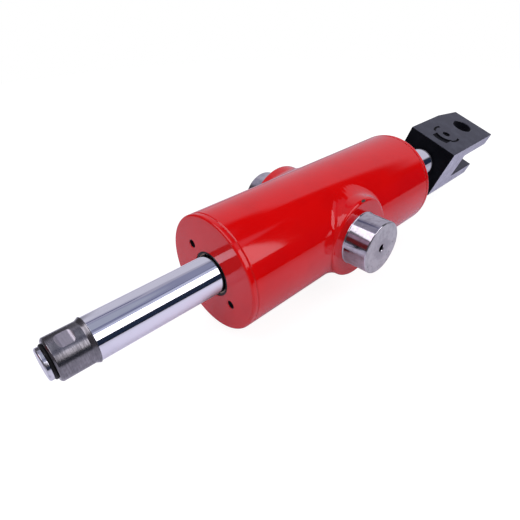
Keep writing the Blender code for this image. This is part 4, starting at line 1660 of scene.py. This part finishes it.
@dataclass(frozen=True)
class Surround:
    """The white backdrop, the room's even light and what bright metal mirrors of the room."""

    room_light: float = 0.60
    dark: Colour = (0.020, 0.020, 0.028)
    side: Colour = (0.12, 0.11, 0.13)
    wall: Colour = (0.60, 0.59, 0.70)
    upper_wall: Colour = (0.42, 0.41, 0.52)
    low_ceiling: Colour = (0.26, 0.27, 0.40)
    ceiling: Colour = (0.37, 0.39, 0.50)
    bounce: Colour = (0.54, 0.56, 0.73)
    beam: Colour = (0.10, 0.11, 0.22)
    skirting: Colour = (0.014, 0.022, 0.048)
    far_ceiling: Colour = (0.40, 0.39, 0.50)
    # The two paint colours put into the room a painted reflection of the red barrel, as the pins would
    # mirror it, since the barrel is hidden from reflections.
    paint_glow: Colour = (0.17, 0.017, 0.021)
    paint_sheen: Colour = (0.42, 0.27, 0.38)

    def build(self) -> None:
        """Make the world."""
        world = bpy.data.worlds.new("studio_surround")
        bpy.context.scene.world = world
        graph = Graph(world)
        seen, mirrored = graph.rays()
        even = (self.room_light,) * 3
        colour = graph.blend(seen, graph.blend(mirrored, even, self.room(graph)), (1.0, 1.0, 1.0))
        graph.node_out("ShaderNodeOutputWorld",
                       graph.node("ShaderNodeBackground", sockets={"Color": colour, "Strength": 1.0}))

    def room(self, graph: Graph) -> Signal:
        """Lay out the room that the metal mirrors.

        Args:
            graph: The world's graph.

        Returns:
            The room's colour in each direction.
        """
        x, y, z = graph.split(graph.node("ShaderNodeTexCoord", output="Generated"))
        height = z.arcsine() * math.degrees(1.0)
        azimuth = y.heading(x) * math.degrees(1.0)
        from_wall = (azimuth + 150.0).wrapped(180.0, -180.0)
        wall_top = 50.0 - (from_wall * -1.0 - 20.0).most(0.0) * 0.75
        off_near_beam = abs(height - (111.7 - azimuth * 0.36))
        off_far_beam = abs(height - 59.0)
        near_beam = azimuth.band(95.0, 156.0, 5.0) * (1.0 - off_near_beam.rise(1.0, 2.2))
        far_beam = azimuth.band(-125.0, -104.0, 2.0) * (1.0 - off_far_beam.rise(1.5, 2.8))
        beside = azimuth.band(-37.0, -23.0, 2.0)
        room = graph.blend(azimuth.band(-95.0, 86.0, 6.0), self.dark, self.side)
        for share, colour in (
                (from_wall.band(0.0, 92.0, 8.0) * height.rise(30.0, 44.0), self.upper_wall),
                (from_wall.band(-54.0, 50.0, 3.0) * (1.0 - (height - wall_top).rise(-2.0, 3.0)), self.wall),
                (height.rise(56.0, 61.0), self.low_ceiling),
                (height.rise(67.0, 73.0), self.ceiling),
                (azimuth.band(-140.0, -60.0, 5.0) * height.band(55.0, 66.0, 2.0), self.far_ceiling),
                (azimuth.band(92.0, 152.0, 3.0) * height.band(46.0, 59.5, 1.5), self.bounce),
                (near_beam.most(far_beam), self.beam),
                (azimuth.band(84.0, 156.0, 3.0) * (1.0 - height.rise(15.5, 17.5)), self.skirting),
                # Painted reflection of the red barrel, seen in the pins.
                (beside * height.band(21.0, 34.0, 3.0), self.paint_sheen),
                (beside * height.band(-9.0, 20.0, 2.5), self.paint_glow)):
            room = graph.blend(share, room, colour)
        return room


@dataclass(frozen=True)
class Floor:
    """The pale floor under the ports, whose light falls off away from the cylinder in reflections."""

    height: float = -0.0635
    radius: float = 1.25
    table_edge: float = 0.59
    edge_blur: float = 0.015
    falloff: float = 0.40
    seen_paint: float = 0.22
    seen_glow: float = 0.89
    far_glow: float = 0.06
    paint: float = 0.60
    mirrored_paint: Colour = (0.80, 0.79, 0.94)
    lit: tuple[float, float] = (0.15, 0.55)

    def build(self) -> None:
        """Lay the floor and paint it."""
        select_only()
        bpy.ops.mesh.primitive_circle_add(vertices=96, radius=self.radius, fill_type="NGON",
                                          location=(0.0, 0.0, self.height))
        floor = bpy.context.object
        floor.name = "studio_floor"
        made = bpy.data.materials.new("studio_floor_paint")
        graph = Graph(made)
        seen, mirrored = graph.rays()
        place = graph.place()
        away = graph.distance(place, (0.0, 0.0, 0.0)).rise(*self.lit)
        past = graph.split(place)[1].rise(self.table_edge - self.edge_blur, self.table_edge + self.edge_blur)
        pale = graph.blend((away * self.falloff).most(past), self.mirrored_paint, (0.0, 0.0, 0.0))
        paint = graph.blend(seen, graph.blend(mirrored, (self.paint,) * 3, pale), (self.seen_paint,) * 3)
        matt = graph.node("ShaderNodeBsdfDiffuse", sockets={"Color": paint})
        glow = seen * (away * self.far_glow + self.seen_glow)
        light = graph.node("ShaderNodeEmission", sockets={"Color": (1.0, 1.0, 1.0), "Strength": glow})
        both = graph.node("ShaderNodeAddShader", sockets={0: matt, 1: light})
        graph.node_out("ShaderNodeOutputMaterial", both)
        floor.data.materials.append(made)


@dataclass(frozen=True)
class PhotoCamera:
    """The camera at the photograph's place and angle."""

    place: Place = (0.301031, 0.240061, 0.216534)
    forward: Place = (-0.554157, -0.600813, -0.576136)
    roll: float = math.radians(-1.24)
    lens: float = 29.034

    def build(self) -> None:
        """Set up the camera."""
        camera = bpy.data.cameras.new("photo_camera")
        camera.lens = self.lens
        camera.sensor_width = 36.0
        camera.clip_start = 0.01
        holder = bpy.data.objects.new("photo_camera", camera)
        bpy.context.scene.collection.objects.link(holder)
        holder.location = self.place
        holder.rotation_mode = "QUATERNION"
        holder.rotation_quaternion = (Vector(self.forward).to_track_quat("-Z", "Y")
                                      @ Quaternion((0.0, 0.0, 1.0), self.roll))
        bpy.context.scene.camera = holder


def build_studio() -> None:
    """Set up the floor, surround, lamps, camera and view."""
    Surround().build()
    Floor().build()
    Softbox("side_softbox", (-0.371, 1.163, 0.882), (0.97, 0.81), 2.5).build()
    Softbox("front_softbox", (0.850, -0.175, 1.2), (1.10, 1.15), 2.0, level=True).build()
    PhotoCamera().build()
    bpy.context.scene.view_settings.view_transform = "Standard"


def main() -> None:
    """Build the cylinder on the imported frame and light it."""
    logging.basicConfig(level=logging.INFO, format="%(name)s: %(message)s")
    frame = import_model()
    Barrel().build()
    Gland().build()
    Trunnion().build()
    OilPorts().build()
    PistonRod().build()
    RodEnd().build()
    Clevis().build()
    HiddenRings().dress(frame["nodes"])
    build_studio()


if __name__ == "__main__":
    main()
